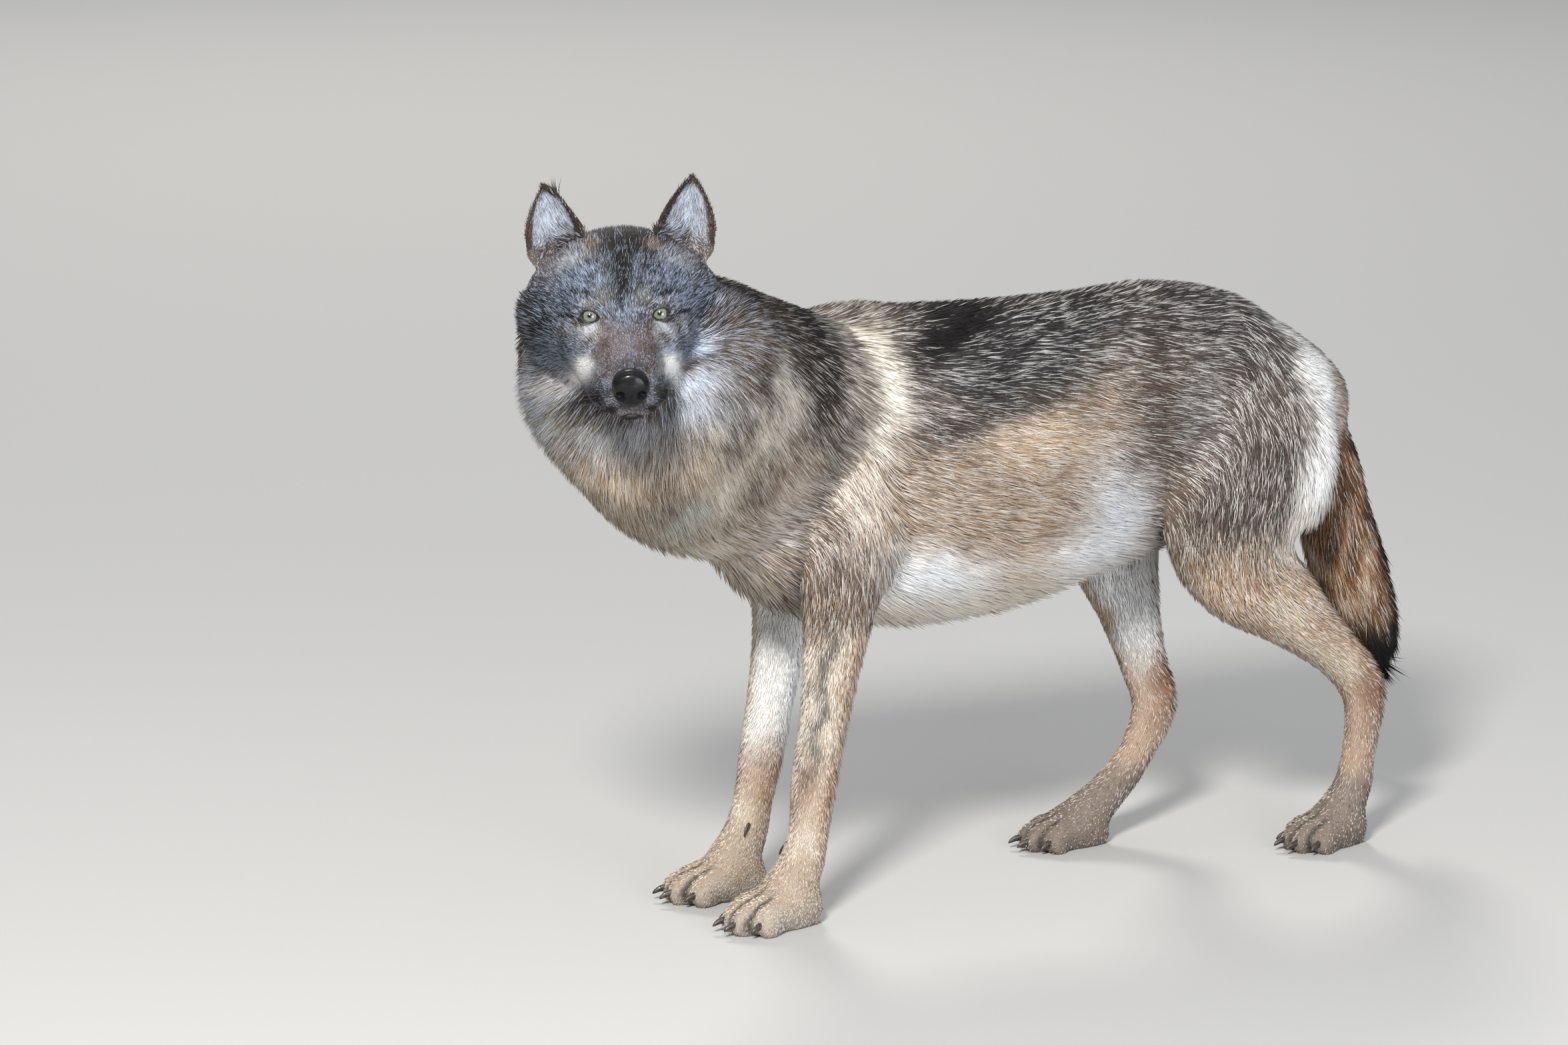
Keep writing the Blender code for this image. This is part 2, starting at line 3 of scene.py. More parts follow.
import bmesh
import bpy
import numpy as np
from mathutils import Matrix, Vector


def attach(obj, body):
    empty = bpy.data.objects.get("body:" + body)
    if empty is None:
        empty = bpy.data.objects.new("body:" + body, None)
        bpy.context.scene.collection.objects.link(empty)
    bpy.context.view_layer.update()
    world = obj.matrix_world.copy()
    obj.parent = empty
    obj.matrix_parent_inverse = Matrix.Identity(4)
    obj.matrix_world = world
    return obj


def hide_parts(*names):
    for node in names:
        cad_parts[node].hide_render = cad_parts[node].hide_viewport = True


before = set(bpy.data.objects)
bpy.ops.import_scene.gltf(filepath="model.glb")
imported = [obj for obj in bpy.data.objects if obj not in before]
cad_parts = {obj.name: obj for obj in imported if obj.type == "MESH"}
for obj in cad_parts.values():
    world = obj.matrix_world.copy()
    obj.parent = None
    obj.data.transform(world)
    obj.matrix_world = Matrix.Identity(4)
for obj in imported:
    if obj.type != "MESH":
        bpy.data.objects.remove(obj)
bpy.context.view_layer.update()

# ======================================================================== form of the body
# The flesh and hide under the coat: trunk, neck, head, legs, paws and tail as lofts along bent
# axes. They are the same lofts as the solids', each drawn in by the depth of the coat there.

HOME = np.array([0.08983, 0.09466, 0.0])      # from the drawing's axes to the frame's
UP = np.array([0.0, 0.0, 1.0])
AHEAD = np.array([-1.0, 0.0, 0.0])


def in_metres(rows):
    """A table of millimetres as an array of metres."""
    return np.array(rows) / 1000


# x, y, z of a station, half sizes on the first side, on the other and across, depth of the coat,
# all in millimetres.
TRUNK = in_metres([
    (468, 0, 550, 20, 30, 20, 6),
    (445, 0, 560, 60, 80, 60, 8),
    (385, 0, 570, 106, 125, 98, 9),
    (300, 0, 575, 150, 160, 116, 9),
    (190, 0, 590, 163, 180, 118, 9),
    (70, 0, 590, 160, 205, 122, 10),
    (-50, 0, 585, 164, 226, 138, 10),
    (-170, 0, 580, 172, 226, 148, 11),
    (-270, 0, 580, 176, 212, 145, 12),
    (-360, 0, 575, 168, 192, 130, 13),
    (-435, 0, 560, 120, 150, 105, 14),
    (-482, 0, 545, 45, 70, 50, 14),
])
NECK = in_metres([
    (-235, 0, 590, 110, 150, 125, 12),
    (-320, -4, 630, 118, 185, 138, 14),
    (-400, -20, 670, 112, 220, 145, 16),
    (-480, -48, 712, 102, 228, 150, 16),
    (-550, -85, 748, 92, 210, 158, 16),
    (-610, -128, 775, 75, 165, 148, 16),
    (-645, -155, 785, 35, 80, 85, 13),
])
TAIL = in_metres([
    (370, 0, 650, 35, 40, 35, 6),
    (420, 0, 605, 42, 42, 38, 10),
    (450, 0, 530, 45, 45, 42, 12),
    (468, 0, 440, 52, 50, 48, 14),
    (494, 0, 350, 55, 52, 50, 15),
    (524, 0, 270, 42, 42, 40, 12),
    (540, 0, 222, 16, 16, 16, 6),
])
LEGS = {
    "fore_left": in_metres([
        (-290, -50, 665, 45, 45, 35, 10),
        (-297, -80, 590, 74, 76, 56, 11),
        (-302, -98, 480, 72, 70, 52, 10),
        (-308, -98, 410, 60, 42, 42, 7),
        (-322, -95, 330, 44, 34, 34, 5),
        (-336, -90, 250, 33, 33, 30, 4),
        (-346, -86, 185, 31, 32, 30, 4),
        (-352, -84, 120, 27, 30, 28, 3),
        (-362, -82, 72, 30, 30, 30, 2),
        (-378, -80, 42, 36, 32, 36, 2),
    ]),
    "fore_right": in_metres([
        (-285, 50, 665, 45, 45, 35, 10),
        (-287, 80, 590, 74, 76, 56, 11),
        (-285, 95, 480, 68, 66, 52, 10),
        (-286, 92, 410, 55, 42, 42, 7),
        (-300, 88, 330, 40, 36, 34, 5),
        (-318, 80, 250, 33, 31, 30, 4),
        (-334, 75, 185, 31, 31, 30, 4),
        (-348, 72, 120, 27, 29, 28, 3),
        (-362, 70, 72, 30, 30, 30, 2),
        (-380, 68, 42, 36, 32, 36, 2),
    ]),
    "hind_left": in_metres([
        (285, -35, 685, 45, 45, 30, 10),
        (290, -64, 620, 95, 96, 50, 10),
        (285, -88, 540, 125, 130, 60, 9),
        (260, -98, 460, 115, 120, 55, 8),
        (275, -98, 395, 88, 80, 45, 7),
        (350, -94, 320, 52, 50, 34, 5),
        (424, -90, 258, 38, 34, 26, 4),
        (464, -87, 205, 35, 35, 24, 4),
        (462, -84, 140, 26, 30, 22, 3),
        (455, -80, 75, 27, 28, 24, 2),
        (440, -78, 42, 34, 30, 32, 2),
    ]),
    "hind_right": in_metres([
        (275, 35, 685, 45, 45, 30, 10),
        (275, 64, 620, 90, 105, 50, 10),
        (255, 88, 540, 115, 130, 60, 9),
        (205, 96, 460, 100, 105, 55, 8),
        (195, 96, 390, 72, 70, 45, 6),
        (212, 92, 310, 46, 48, 34, 4),
        (236, 88, 230, 36, 35, 27, 4),
        (252, 85, 170, 34, 36, 25, 4),
        (220, 82, 110, 27, 30, 23, 3),
        (177, 80, 62, 27, 28, 25, 2),
        (147, 78, 40, 32, 30, 32, 2),
    ]),
}
# Each paw: x and y of the ankle over the floor in metres, degrees turned out, and its scale.
PAWS = {
    "fore_left": (-0.372, -0.079, 4, 1.0),
    "fore_right": (-0.374, 0.067, 8, 1.0),
    "hind_left": (0.440, -0.077, 6, 0.92),
    "hind_right": (0.140, 0.078, 4, 0.92),
}
PALM = in_metres([
    (-30, 0, 50, 14, 12, 14, 1),
    (-22, 0, 46, 26, 48, 28, 1),
    (0, 0, 40, 28, 54, 36, 1),
    (30, 0, 31, 22, 44, 40, 1),
    (50, 0, 24, 14, 30, 30, 1),
    (56, 0, 22, 4, 6, 12, 1),
])
TOES = [
    (0.070, -0.036, 0.030, -0.027),
    (0.094, -0.013, 0.042, -0.011),
    (0.094, 0.013, 0.042, 0.011),
    (0.070, 0.036, 0.030, 0.027),
]
TOE_HALF_WIDTH = 0.0130

# Head frame: its origin is midway between the eyes, then ahead, left and up in millimetres.
EYES = np.array([-0.667, -0.220, 0.812])
HEAD_TURN, HEAD_DROP, HEAD_ROLL = np.radians([66.0, 9.0, 1.5])
# Stations: ahead, top, widest height, bottom, half width, then the coat above, beside and below.
HEAD = [
    (122, -42, -54, -68, 10, 1, 1, 1),
    (121, -36, -52, -74, 20, 1, 1, 1),
    (120, -29, -50, -80, 28, 1, 1, 1),
    (110, -25, -58, -92, 34, 1, 1, 1),
    (90, -17, -62, -97, 40, 1.2, 1.5, 2),
    (60, -6, -64, -101, 44, 1.5, 2, 3),
    (35, 4, -60, -105, 51, 2, 3, 4),
    (15, 16, -50, -108, 62, 3, 3, 6.6),
    (-5, 36, -38, -111, 74, 3, 5.3, 9.2),
    (-30, 58, -30, -116, 90, 4, 9.2, 13.2),
    (-60, 74, -30, -124, 108, 5.3, 13.2, 15.8),
    (-90, 80, -35, -134, 122, 6.6, 15.8, 17.2),
    (-115, 74, -40, -142, 124, 9.2, 17.2, 18.5),
    (-140, 56, -45, -138, 104, 11.9, 17.2, 18.5),
    (-158, 15, -45, -100, 60, 11.9, 13.2, 13.2),
]


def unit(v):
    return v / np.maximum(np.linalg.norm(v, axis=-1, keepdims=True), 1e-12)


def ramp(x, low, high):
    """0 below low, 1 above high, with a smooth S between."""
    t = np.clip((x - low) / (high - low), 0, 1)
    return t * t * (3 - 2 * t)


def fall(x, low, high):
    """1 below low, 0 above high, with the same S between."""
    return 1 - ramp(x, low, high)


def smooth_rows(rows, count):
    """Rows of a table joined by a smooth curve, at even steps of the root of the way along."""
    rows = np.asarray(rows, float)
    steps = np.linalg.norm(np.diff(rows[:, :3], axis=0), axis=1) ** 0.5
    knots = np.concatenate([[0], np.cumsum(steps)])
    slopes = np.gradient(rows, knots, axis=0)
    at = np.linspace(0, knots[-1], count)
    i = np.clip(np.searchsorted(knots, at, side="right") - 1, 0, len(rows) - 2)
    h = (knots[i + 1] - knots[i])[:, None]
    t = (at - knots[i])[:, None] / h
    start = (1 + 2 * t) * (1 - t) ** 2 * rows[i] + t * (1 - t) ** 2 * h * slopes[i]
    end = t * t * (3 - 2 * t) * rows[i + 1] + t * t * (t - 1) * h * slopes[i + 1]
    return start + end


def rings_along(rows, first, rings, around):
    """Rings square to a curved path: cos times one half size plus sin times the other."""
    s = smooth_rows(rows, rings)
    tangent = unit(np.gradient(s[:, :3], axis=0))
    u = unit(first - (tangent @ first)[:, None] * tangent)
    v = np.cross(tangent, u)
    turn = np.linspace(0, 2 * np.pi, around, endpoint=False)
    c, q = np.cos(turn), np.sin(turn)
    depth = s[:, 6:7]
    reach = (np.where(c > 0, s[:, 3:4], s[:, 4:5]) - depth) * c
    aside = (s[:, 5:6] - depth) * q
    return s[:, None, :3] + reach[..., None] * u[:, None] + aside[..., None] * v[:, None]


def head_axes():
    """Unit vectors ahead of the face, to its left and up."""
    turn, drop, roll = HEAD_TURN, HEAD_DROP, HEAD_ROLL
    ahead = np.array([-np.cos(turn) * np.cos(drop), -np.sin(turn) * np.cos(drop), -np.sin(drop)])
    left = unit(np.cross(UP, ahead))
    up = np.cross(ahead, left)
    rolled_left = left * np.cos(roll) + up * np.sin(roll)
    rolled_up = up * np.cos(roll) - left * np.sin(roll)
    return np.stack([ahead, rolled_left, rolled_up])


HEAD_AXES = head_axes()


def head_point(mm):
    return EYES + np.asarray(mm, float) / 1000 @ HEAD_AXES


def in_head(points):
    """Points in the head's frame, in millimetres: ahead, left, up."""
    return (points - EYES) @ HEAD_AXES.T * 1000


def head_rings(rows, rings, around):
    """Rings square to the head's own length: half heights above and below the widest, half width."""
    s = smooth_rows(rows, rings)
    turn = np.linspace(0, 2 * np.pi, around, endpoint=False)
    c, q = np.cos(turn), np.sin(turn)
    reach = np.where(c > 0, s[:, 3:4], s[:, 4:5]) * c
    ahead = np.repeat(s[:, 0:1], around, 1)
    return np.stack([ahead, s[:, 5:6] * q, s[:, 2:3] + reach], -1)


def grid_faces(rows, columns, first=0):
    """Quads of a grid of points whose columns close round, with a cap on each end."""
    i, j = np.meshgrid(np.arange(rows - 1), np.arange(columns), indexing="ij")
    k = (j + 1) % columns
    quads = np.stack([i * columns + j, i * columns + k, (i + 1) * columns + k, (i + 1) * columns + j], -1)
    caps = [list(range(columns))[::-1], list(range((rows - 1) * columns, rows * columns))]
    return quads.reshape(-1, 4).tolist() + caps


def new_object(name, points, faces):
    mesh = bpy.data.meshes.new(name)
    mesh.from_pydata(np.asarray(points).reshape(-1, 3).tolist(), [], faces)
    made = bpy.data.objects.new(name, mesh)
    bpy.context.scene.collection.objects.link(made)
    return made


def outwards(obj):
    """Merges doubles and turns every face outwards."""
    edit = bmesh.new()
    edit.from_mesh(obj.data)
    bmesh.ops.remove_doubles(edit, verts=edit.verts, dist=1e-6)
    bmesh.ops.recalc_face_normals(edit, faces=edit.faces)
    if edit.calc_volume(signed=True) < 0:
        bmesh.ops.reverse_faces(edit, faces=edit.faces)
    edit.to_mesh(obj.data)
    edit.free()
    return obj


def tube(name, rings):
    return outwards(new_object(name, rings, grid_faces(*rings.shape[:2])))


def paw_frame(leg):
    """A paw's origin on the floor, its unit vectors ahead, to the right and up, and its scale."""
    x, y, degrees, scale = PAWS[leg]
    out = np.radians(degrees) * (-1 if "left" in leg else 1)
    ahead = np.array([-np.cos(out), np.sin(out), 0])
    aside = np.array([np.sin(out), np.cos(out), 0])
    return np.array([x, y, 0]), np.stack([ahead, aside, UP]), scale


def paw_rows(leg, rows):
    origin, axes, scale = paw_frame(leg)
    rows = np.array(rows, float) * scale
    return np.concatenate([origin + rows[:, :3] @ axes, rows[:, 3:]], 1)


def paw_tubes(leg):
    """The palm and four toes, each toe running from its root on the palm over a knuckle to its tip."""
    made = [tube("palm", rings_along(paw_rows(leg, PALM), UP, 16, 24))]
    w = TOE_HALF_WIDTH
    for tip, aside, knuckle, root in TOES:
        rows = [
            (knuckle, root, 0.030, 0.005, 0.005, 0.004, 0.001),
            (knuckle + 0.004, root, 0.030, 0.013, 0.020, w - 0.001, 0.001),
            ((tip + knuckle) / 2, (aside + root) / 2, 0.026, 0.014, 0.034, w, 0.001),
            (tip - 0.012, aside, 0.016, 0.014, 0.028, w, 0.001),
            (tip - 0.003, aside, 0.011, 0.009, 0.019, 0.009, 0.001),
            (tip, aside, 0.010, 0.003, 0.003, 0.003, 0.001),
        ]
        made.append(tube("toe", rings_along(paw_rows(leg, rows), UP, 14, 18)))
    return made


def joined(name, pieces):
    """One object from the meshes of several, which are removed."""
    edit = bmesh.new()
    for piece in pieces:
        edit.from_mesh(piece.data)
    mesh = bpy.data.meshes.new(name)
    edit.to_mesh(mesh)
    edit.free()
    for piece in pieces:
        bpy.data.objects.remove(piece)
    made = bpy.data.objects.new(name, mesh)
    bpy.context.scene.collection.objects.link(made)
    return made


def applied(obj):
    """Gives an object the mesh that its modifiers make of it."""
    graph = bpy.context.evaluated_depsgraph_get()
    mesh = bpy.data.meshes.new_from_object(obj.evaluated_get(graph))
    obj.modifiers.clear()
    obj.data = mesh
    return obj


FUSE_GRID = 0.006
SOFTEN = 0.5                           # most of the way to its neighbours' mean that a point goes
FINE_FACE, FINE_FEET, FINE_EDGE = 0.16, 0.12, 0.04      # reach of the face, of the feet, and blend
LOWEST = 0.0004                        # of the hide over the floor

head_rows = [(a, 0, m, t - above - m, m - b - below, w - side)
             for a, t, m, b, w, above, side, below in HEAD]
skin_parts = [
    tube("trunk_form", rings_along(TRUNK, UP, 44, 48)),
    tube("neck_form", rings_along(NECK, UP, 30, 48)),
    tube("head_form", head_point(head_rings(head_rows, 60, 48))),
    tube("tail_form", rings_along(TAIL, np.array([1.0, 0, 0.6]), 36, 28)),
]
for leg, rows in LEGS.items():
    skin_parts.append(tube("leg_form", rings_along(rows, AHEAD, 44, 32)))
    skin_parts += paw_tubes(leg)
skin = joined("skin", skin_parts)
remesh = skin.modifiers.new("fuse", "REMESH")
remesh.mode = "VOXEL"
remesh.voxel_size = FUSE_GRID
applied(skin)


def read_rows(items, name, kind, width):
    """One property of a mesh's points, edges or corners as an array with rows of that width."""
    values = np.empty(len(items) * width, kind)
    items.foreach_get(name, values)
    return values.reshape(-1, width)


def points_of(obj):
    return read_rows(obj.data.vertices, "co", float, 3)


def edges_of(obj):
    return read_rows(obj.data.edges, "vertices", np.int32, 2)


def set_points(obj, points):
    obj.data.vertices.foreach_set("co", np.ascontiguousarray(points, dtype=np.float32).ravel())
    obj.data.update()


def relaxed(points, edges, weight, times):
    """Each point moves by its weight towards the mean of its neighbours, several times."""
    count = np.bincount(edges.ravel(), minlength=len(points))[:, None]
    both = np.concatenate([edges, edges[:, ::-1]])
    for _ in range(times):
        total = np.stack([np.bincount(both[:, 0], points[both[:, 1], k], len(points)) for k in range(3)], 1)
        points = points + weight[:, None] * (total / np.maximum(count, 1) - points)
    return points


skin_points = points_of(skin)
from_eyes = np.linalg.norm(skin_points - EYES, axis=1)
fine = np.clip((FINE_FACE - from_eyes) / FINE_EDGE, 0, 1)
fine = fine + np.clip((FINE_FEET - skin_points[:, 2]) / FINE_EDGE, 0, 1)
skin_points = relaxed(skin_points, edges_of(skin), np.full(len(skin_points), SOFTEN), 4)
skin_points = relaxed(skin_points, edges_of(skin), SOFTEN * np.clip(1 - fine, 0, 1), 20)
skin_points[:, 2] = np.maximum(skin_points[:, 2], LOWEST)
set_points(skin, skin_points)

# ======================================================================== face
# The hide of the face is drawn finer than the body's. Soft pushes raise the brows, cheekbones
# and lips and sink the mouth line, and the lids wrap each eyeball with a dark almond rim.

EYE_CENTRE = np.array([1.0, 40.8, 0.0])
EYE_RADIUS = 12.0
EYE_FACES = unit(np.array([0.92, 0.10, 0.36]))          # where the opening of an eye points
EYE_REACH = 32                         # farther than this from its centre nothing belongs to an eye
LID, LID_SHELL, SOCKET = 1.2, 3, 3.0   # thickness of a lid, of its folds, depth of the hide behind
OUTER_CORNER, INNER_CORNER, UPPER_LID, LOWER_LID, LID_SLANT = 10.8, 10.2, 5.4, 6.9, 0.15
RIM_REACH, RIM_STEP = 0.5, 0.1         # points this near the opening's edge are set on it
# A push: centre, reach and move, each ahead, aside, up.
PUSHES = [
    ((25, 25, -5), (14, 8, 14), (-5, -2, 0)),           # hollow at the inner corner
    ((10, 34, 19), (16, 17, 7), (7, 0, 2)),             # brow
    ((0, 56, 14), (16, 12, 8), (3, 3, 1)),              # outer brow
    ((20, 0, 8), (24, 8, 20), (-4, 0, -2)),             # stop between the brows
    ((-18, 0, 52), (40, 8, 24), (-3, 0, -3)),           # furrow of the forehead
    ((-18, 30, 50), (30, 18, 18), (2, 0, 3)),           # dome of the forehead
    ((-4, 62, -24), (20, 13, 11), (4, 6, 0)),           # cheekbone
    ((40, 42, -30), (22, 10, 15), (0, -5, 0)),          # hollow under the eye
    ((100, 29, -66), (18, 12, 11), (1, 5, 0)),          # whisker pad
    ((58, 42, -86), (30, 16, 12), (0, 12, -2)),         # hanging corner of the upper lip
    ((112, 0, -88), (16, 16, 7), (4, 0, -1)),           # chin
    ((64, 20, -12), (30, 7, 8), (0, 2.5, 1.0)),         # edges of the bridge
    ((-84, 92, 22), (34, 30, 30), (0, 14, 3)),          # root of the ear
]
MOUTH_END, MOUTH_HEIGHT = 26.0, -81.0       # how far ahead its corners are, and its height there
SLIT_HALF, SLIT_DEPTH = 1.5, 3.2
LIP_OFF, LIP_HALF, LIP_RISE = 4.0, 2.2, 1.1


def refine(obj, chosen):
    """Splits the edges of every face whose centre, in the head's frame, is chosen."""
    edit = bmesh.new()
    edit.from_mesh(obj.data)
    centres = np.array([face.calc_center_median() for face in edit.faces])
    picked = chosen(in_head(centres))
    edges = {edge for face, yes in zip(edit.faces, picked) if yes for edge in face.edges}
    bmesh.ops.subdivide_edges(edit, edges=list(edges), cuts=1, use_grid_fill=True)
    edit.to_mesh(obj.data)
    edit.free()
    points = points_of(obj)
    inside = chosen(in_head(points)) * SOFTEN
    set_points(obj, relaxed(points, edges_of(obj), inside, 3))


def eye_frame(side):
    """Unit vectors out of an eye, outwards along its opening and up across it."""
    out = EYE_FACES * (1, side, 1)
    across = unit(np.cross((0, 0, 1.0), out)) * side
    return np.stack([out, across, np.cross(out, across) * side])


def eye_places(mm, side):
    """Points in an eye's own frame: out, outwards and up from the ball's centre."""
    return (mm - EYE_CENTRE * (1, side, 1)) @ eye_frame(side).T


def unrolled(place):
    """Places round an eye as arcs of its ball: the distance out, then millimetres outwards and up."""
    away = np.linalg.norm(place, axis=1)
    arc = EYE_RADIUS * np.arccos(np.clip(place[:, 0] / away, -1, 1))
    flat = place[:, 1:] * (arc / np.maximum(np.hypot(place[:, 1], place[:, 2]), 1e-6))[:, None]
    return np.concatenate([away[:, None], flat], 1)


def rolled_up(arcs):
    """The inverse: the distance out times the direction that lies that arc from the opening's middle."""
    arc = np.hypot(arcs[:, 1], arcs[:, 2]) / EYE_RADIUS
    flat = arcs[:, 1:] * (np.sin(arc) / np.maximum(arc * EYE_RADIUS, 1e-6))[:, None]
    return arcs[:, :1] * np.concatenate([np.cos(arc)[:, None], flat], 1)


def lid_gap(arcs):
    """Arc from the edge of the almond opening, in millimetres, less than 0 inside it."""
    side = arcs[:, 1] / np.where(arcs[:, 1] > 0, OUTER_CORNER, INNER_CORNER)
    across = np.clip(abs(side), 0, 1)
    up = arcs[:, 2] - LID_SLANT * arcs[:, 1]
    height = np.where(up > 0, UPPER_LID, LOWER_LID) * (1 - across ** 2.2) ** 0.75
    beyond = np.maximum(abs(side) - 1, 0) * INNER_CORNER
    outside = np.hypot(np.maximum(abs(up) - height, 0), beyond)
    return outside - np.maximum(height - abs(up), 0) * (beyond <= 0)


def on_rim(arcs):
    """Points close to the opening's edge slide on to it along the gap's slope, so it is drawn clean."""
    gap = lid_gap(arcs)
    slope = np.stack([lid_gap(arcs + RIM_STEP * np.eye(3)[k]) - gap for k in (1, 2)], 1) / RIM_STEP
    slide = -gap[:, None] * slope / np.maximum((slope ** 2).sum(1, keepdims=True), 0.3)
    close = (abs(gap) < RIM_REACH)[:, None]
    return arcs + np.concatenate([np.zeros((len(arcs), 1)), np.where(close, slide, 0)], 1)


def mouth_line(mm):
    """Height of the line between the lips: it drops beside the front and rises to the corners."""
    return MOUTH_HEIGHT - 7 * ramp(abs(mm[:, 1]), 4, 20) + 5 * fall(mm[:, 0], 30, 90)


def sculpt_face(mm):
    """Adds each push times a bell of the distance from its centre, then the mouth and the lids."""
    side = np.where(mm[:, 1] < 0, -1.0, 1.0)[:, None]
    one = np.concatenate([mm[:, :1], mm[:, 1:2] * side, mm[:, 2:]], 1)
    move = np.zeros_like(one)
    for centre, reach, push in PUSHES:
        share = np.exp(-(((one - centre) / reach) ** 2).sum(1))
        move += share[:, None] * push
    one = one + move
    above = one[:, 2] - mouth_line(one)
    along = ramp(one[:, 0], MOUTH_END, MOUTH_END + 8) * (abs(above) < 12)
    slit = np.exp(-(above / SLIT_HALF) ** 2) * along * (1 - 0.6 * ramp(one[:, 0], 95, 112))
    lips = np.exp(-((abs(above) - LIP_OFF) / LIP_HALF) ** 2) * along
    outward = one * (1, 1, 0) - (70, 0, 0)
    one = one + (LIP_RISE * lips - SLIT_DEPTH * slit)[:, None] * unit(outward)
    mm = np.concatenate([one[:, :1], one[:, 1:2] * side, one[:, 2:]], 1)
    for sign in (-1, 1):
        place = eye_places(mm, sign)
        arcs = on_rim(unrolled(place))
        away, gap = arcs[:, 0].copy(), lid_gap(arcs)
        near = fall(np.hypot(place[:, 1], place[:, 2]), 12, 22) * ramp(place[:, 0], 1, 5)
        near = near * (away < EYE_REACH)
        upper = arcs[:, 2] > LID_SLANT * arcs[:, 1]
        rim = 0.9 * np.exp(-((gap - 1.6) / 1.2) ** 2)
        crease = 0.7 * np.exp(-((gap - 4.6) / 1.2) ** 2) * upper
        wanted = np.where(gap < -0.2, EYE_RADIUS - SOCKET, EYE_RADIUS + LID + (rim - crease))
        arcs[:, 0] = away + near * (wanted - away)
        new = rolled_up(arcs) @ eye_frame(sign) + EYE_CENTRE * (1, sign, 1)
        mm = np.where((near > 0)[:, None], new, mm)
    return mm


def inside_box(mm, behind, beside, below, above):
    return (mm[:, 0] > behind) & (abs(mm[:, 1]) < beside) & (mm[:, 2] > below) & (mm[:, 2] < above)


refine(skin, lambda mm: inside_box(mm, -25, 80, -110, 55))
refine(skin, lambda mm: inside_box(mm, 0, 58, -100, 20))
refine(skin, lambda mm: (np.hypot(abs(mm[:, 1]) - 41, mm[:, 2]) < 18) & (mm[:, 0] > -12))
skin_points = points_of(skin)
facing = in_head(skin_points)
face_zone = inside_box(facing, -160, 130, -115, 95)
skin_points[face_zone] = head_point(sculpt_face(facing[face_zone]))
set_points(skin, skin_points)

# ======================================================================== ears
# Each ear is a thin curved cup of gristle and hide, open ahead and a little outwards. It is
# fused with the head's hide by a union, and the join is relaxed.

EAR_BASE = (-84, 73, 42)
EAR_TIPS = {1: (-84, 86, 138), -1: (-84, 88, 131)}
EAR_HALF_WIDTH, EAR_CUP, EAR_THICK = 39, 28, 8
EAR_COAT = 1.5
EAR_TALL, EAR_LEAN = 95, 13            # from the base up to the tip, and outwards


def ear_rings(side, rings, across):
    """Crescents from base to tip: width times an arch, bowed back by one minus the square."""
    h = np.linspace(-0.16, 1, rings)[:, None]
    rise = np.clip(h, 0, 1)
    base, tip = np.array(EAR_BASE, float), np.array(EAR_TIPS[side], float)
    centre = base + h[..., None] * (tip - base)
    wide = EAR_HALF_WIDTH * (1 - rise ** 2.2) ** 0.85 * (1 - 0.1 * h) + 1.0 - EAR_COAT * 0.6
    wide = wide * (0.62 + 0.38 * ramp(h, -0.18, 0.14))
    cup = EAR_CUP * (1 - rise) ** 0.7 + 3 - EAR_COAT
    thick = EAR_THICK * (1 - 0.55 * rise) - 2 * EAR_COAT
    v = np.linspace(-1, 1, across)[None]
    axis = unit(tip - base)
    out = np.array([0, 0.84, -0.54])
    out = unit(out - (out @ axis) * axis)
    back = np.cross(axis, out)
    back = back * np.sign(-back[0])
    curve = 1 - v ** 2
    rear = centre + (wide * v)[..., None] * out + (cup * curve)[..., None] * back
    front = rear - (np.maximum(thick, 0.7) * (0.3 + 0.7 * curve))[..., None] * back
    points = np.concatenate([rear, front[:, ::-1]], 1)
    points[..., 1] *= side
    return head_point(points)


for side in (-1, 1):
    cup = tube("ear_form", ear_rings(side, 34, 19))
    union = skin.modifiers.new("ear", "BOOLEAN")
    union.operation = "UNION"
    union.solver = "EXACT"
    union.object = cup
    applied(skin)
    bpy.data.objects.remove(cup)
skin_points = points_of(skin)
skin_mm = in_head(skin_points)
skin_mm[:, 1] = abs(skin_mm[:, 1])
join = fall(abs(skin_mm[:, 2] - 44), 14, 30)
join *= (skin_mm[:, 0] < -40) & (skin_mm[:, 0] > -150) & (skin_mm[:, 1] < 130)
set_points(skin, relaxed(skin_points, edges_of(skin), SOFTEN * join, 6))
outwards(skin)

# ======================================================================== lie of the coat
# Every point of the hide belongs to the trunk, neck, head, tail or a leg by its nearness to
# their axes, and takes from them how the hair lies, how long it is and how deep the coat is.

AXES = {"trunk": (TRUNK, -1), "neck": (NECK, -1), "tail": (TAIL, 1)}
AXES.update({leg: (rows, 1) for leg, rows in LEGS.items()})
PART_NAMES = list(AXES) + ["head"]
FORELEGS, HIND_LEGS = ["fore_left", "fore_right"], ["hind_left", "hind_right"]
SHARPNESS = 9.0                      # of the border between two parts
DOWNWARD = {"trunk": 0.30, "neck": 1.0}      # how far the hair hangs as it runs back
FACE_LEAD = 0.5                      # by which the face's own hair wins over the neck's
NOSE_TIP = np.array([150.0, 0.0, -50.0])
EAR_RUN = np.array([-0.15, 0.25, 1.0])


def axis_of(name):
    """Points along a part's axis, its mean half size, the way its hair runs and its coat's depth."""
    rows, way = AXES[name]
    s = smooth_rows(rows, 40)
    return s[:, :3], s[:, 3:6].mean(1), way * unit(np.gradient(s[:, :3], axis=0)), s[:, 6]


def ear_share(mm):
    """1 on the ears, 0 on the head."""
    return ramp(mm[:, 2] + 0.35 * (abs(mm[:, 1]) - EAR_BASE[1]), 56, 72) * ramp(-mm[:, 0], 40, 55)


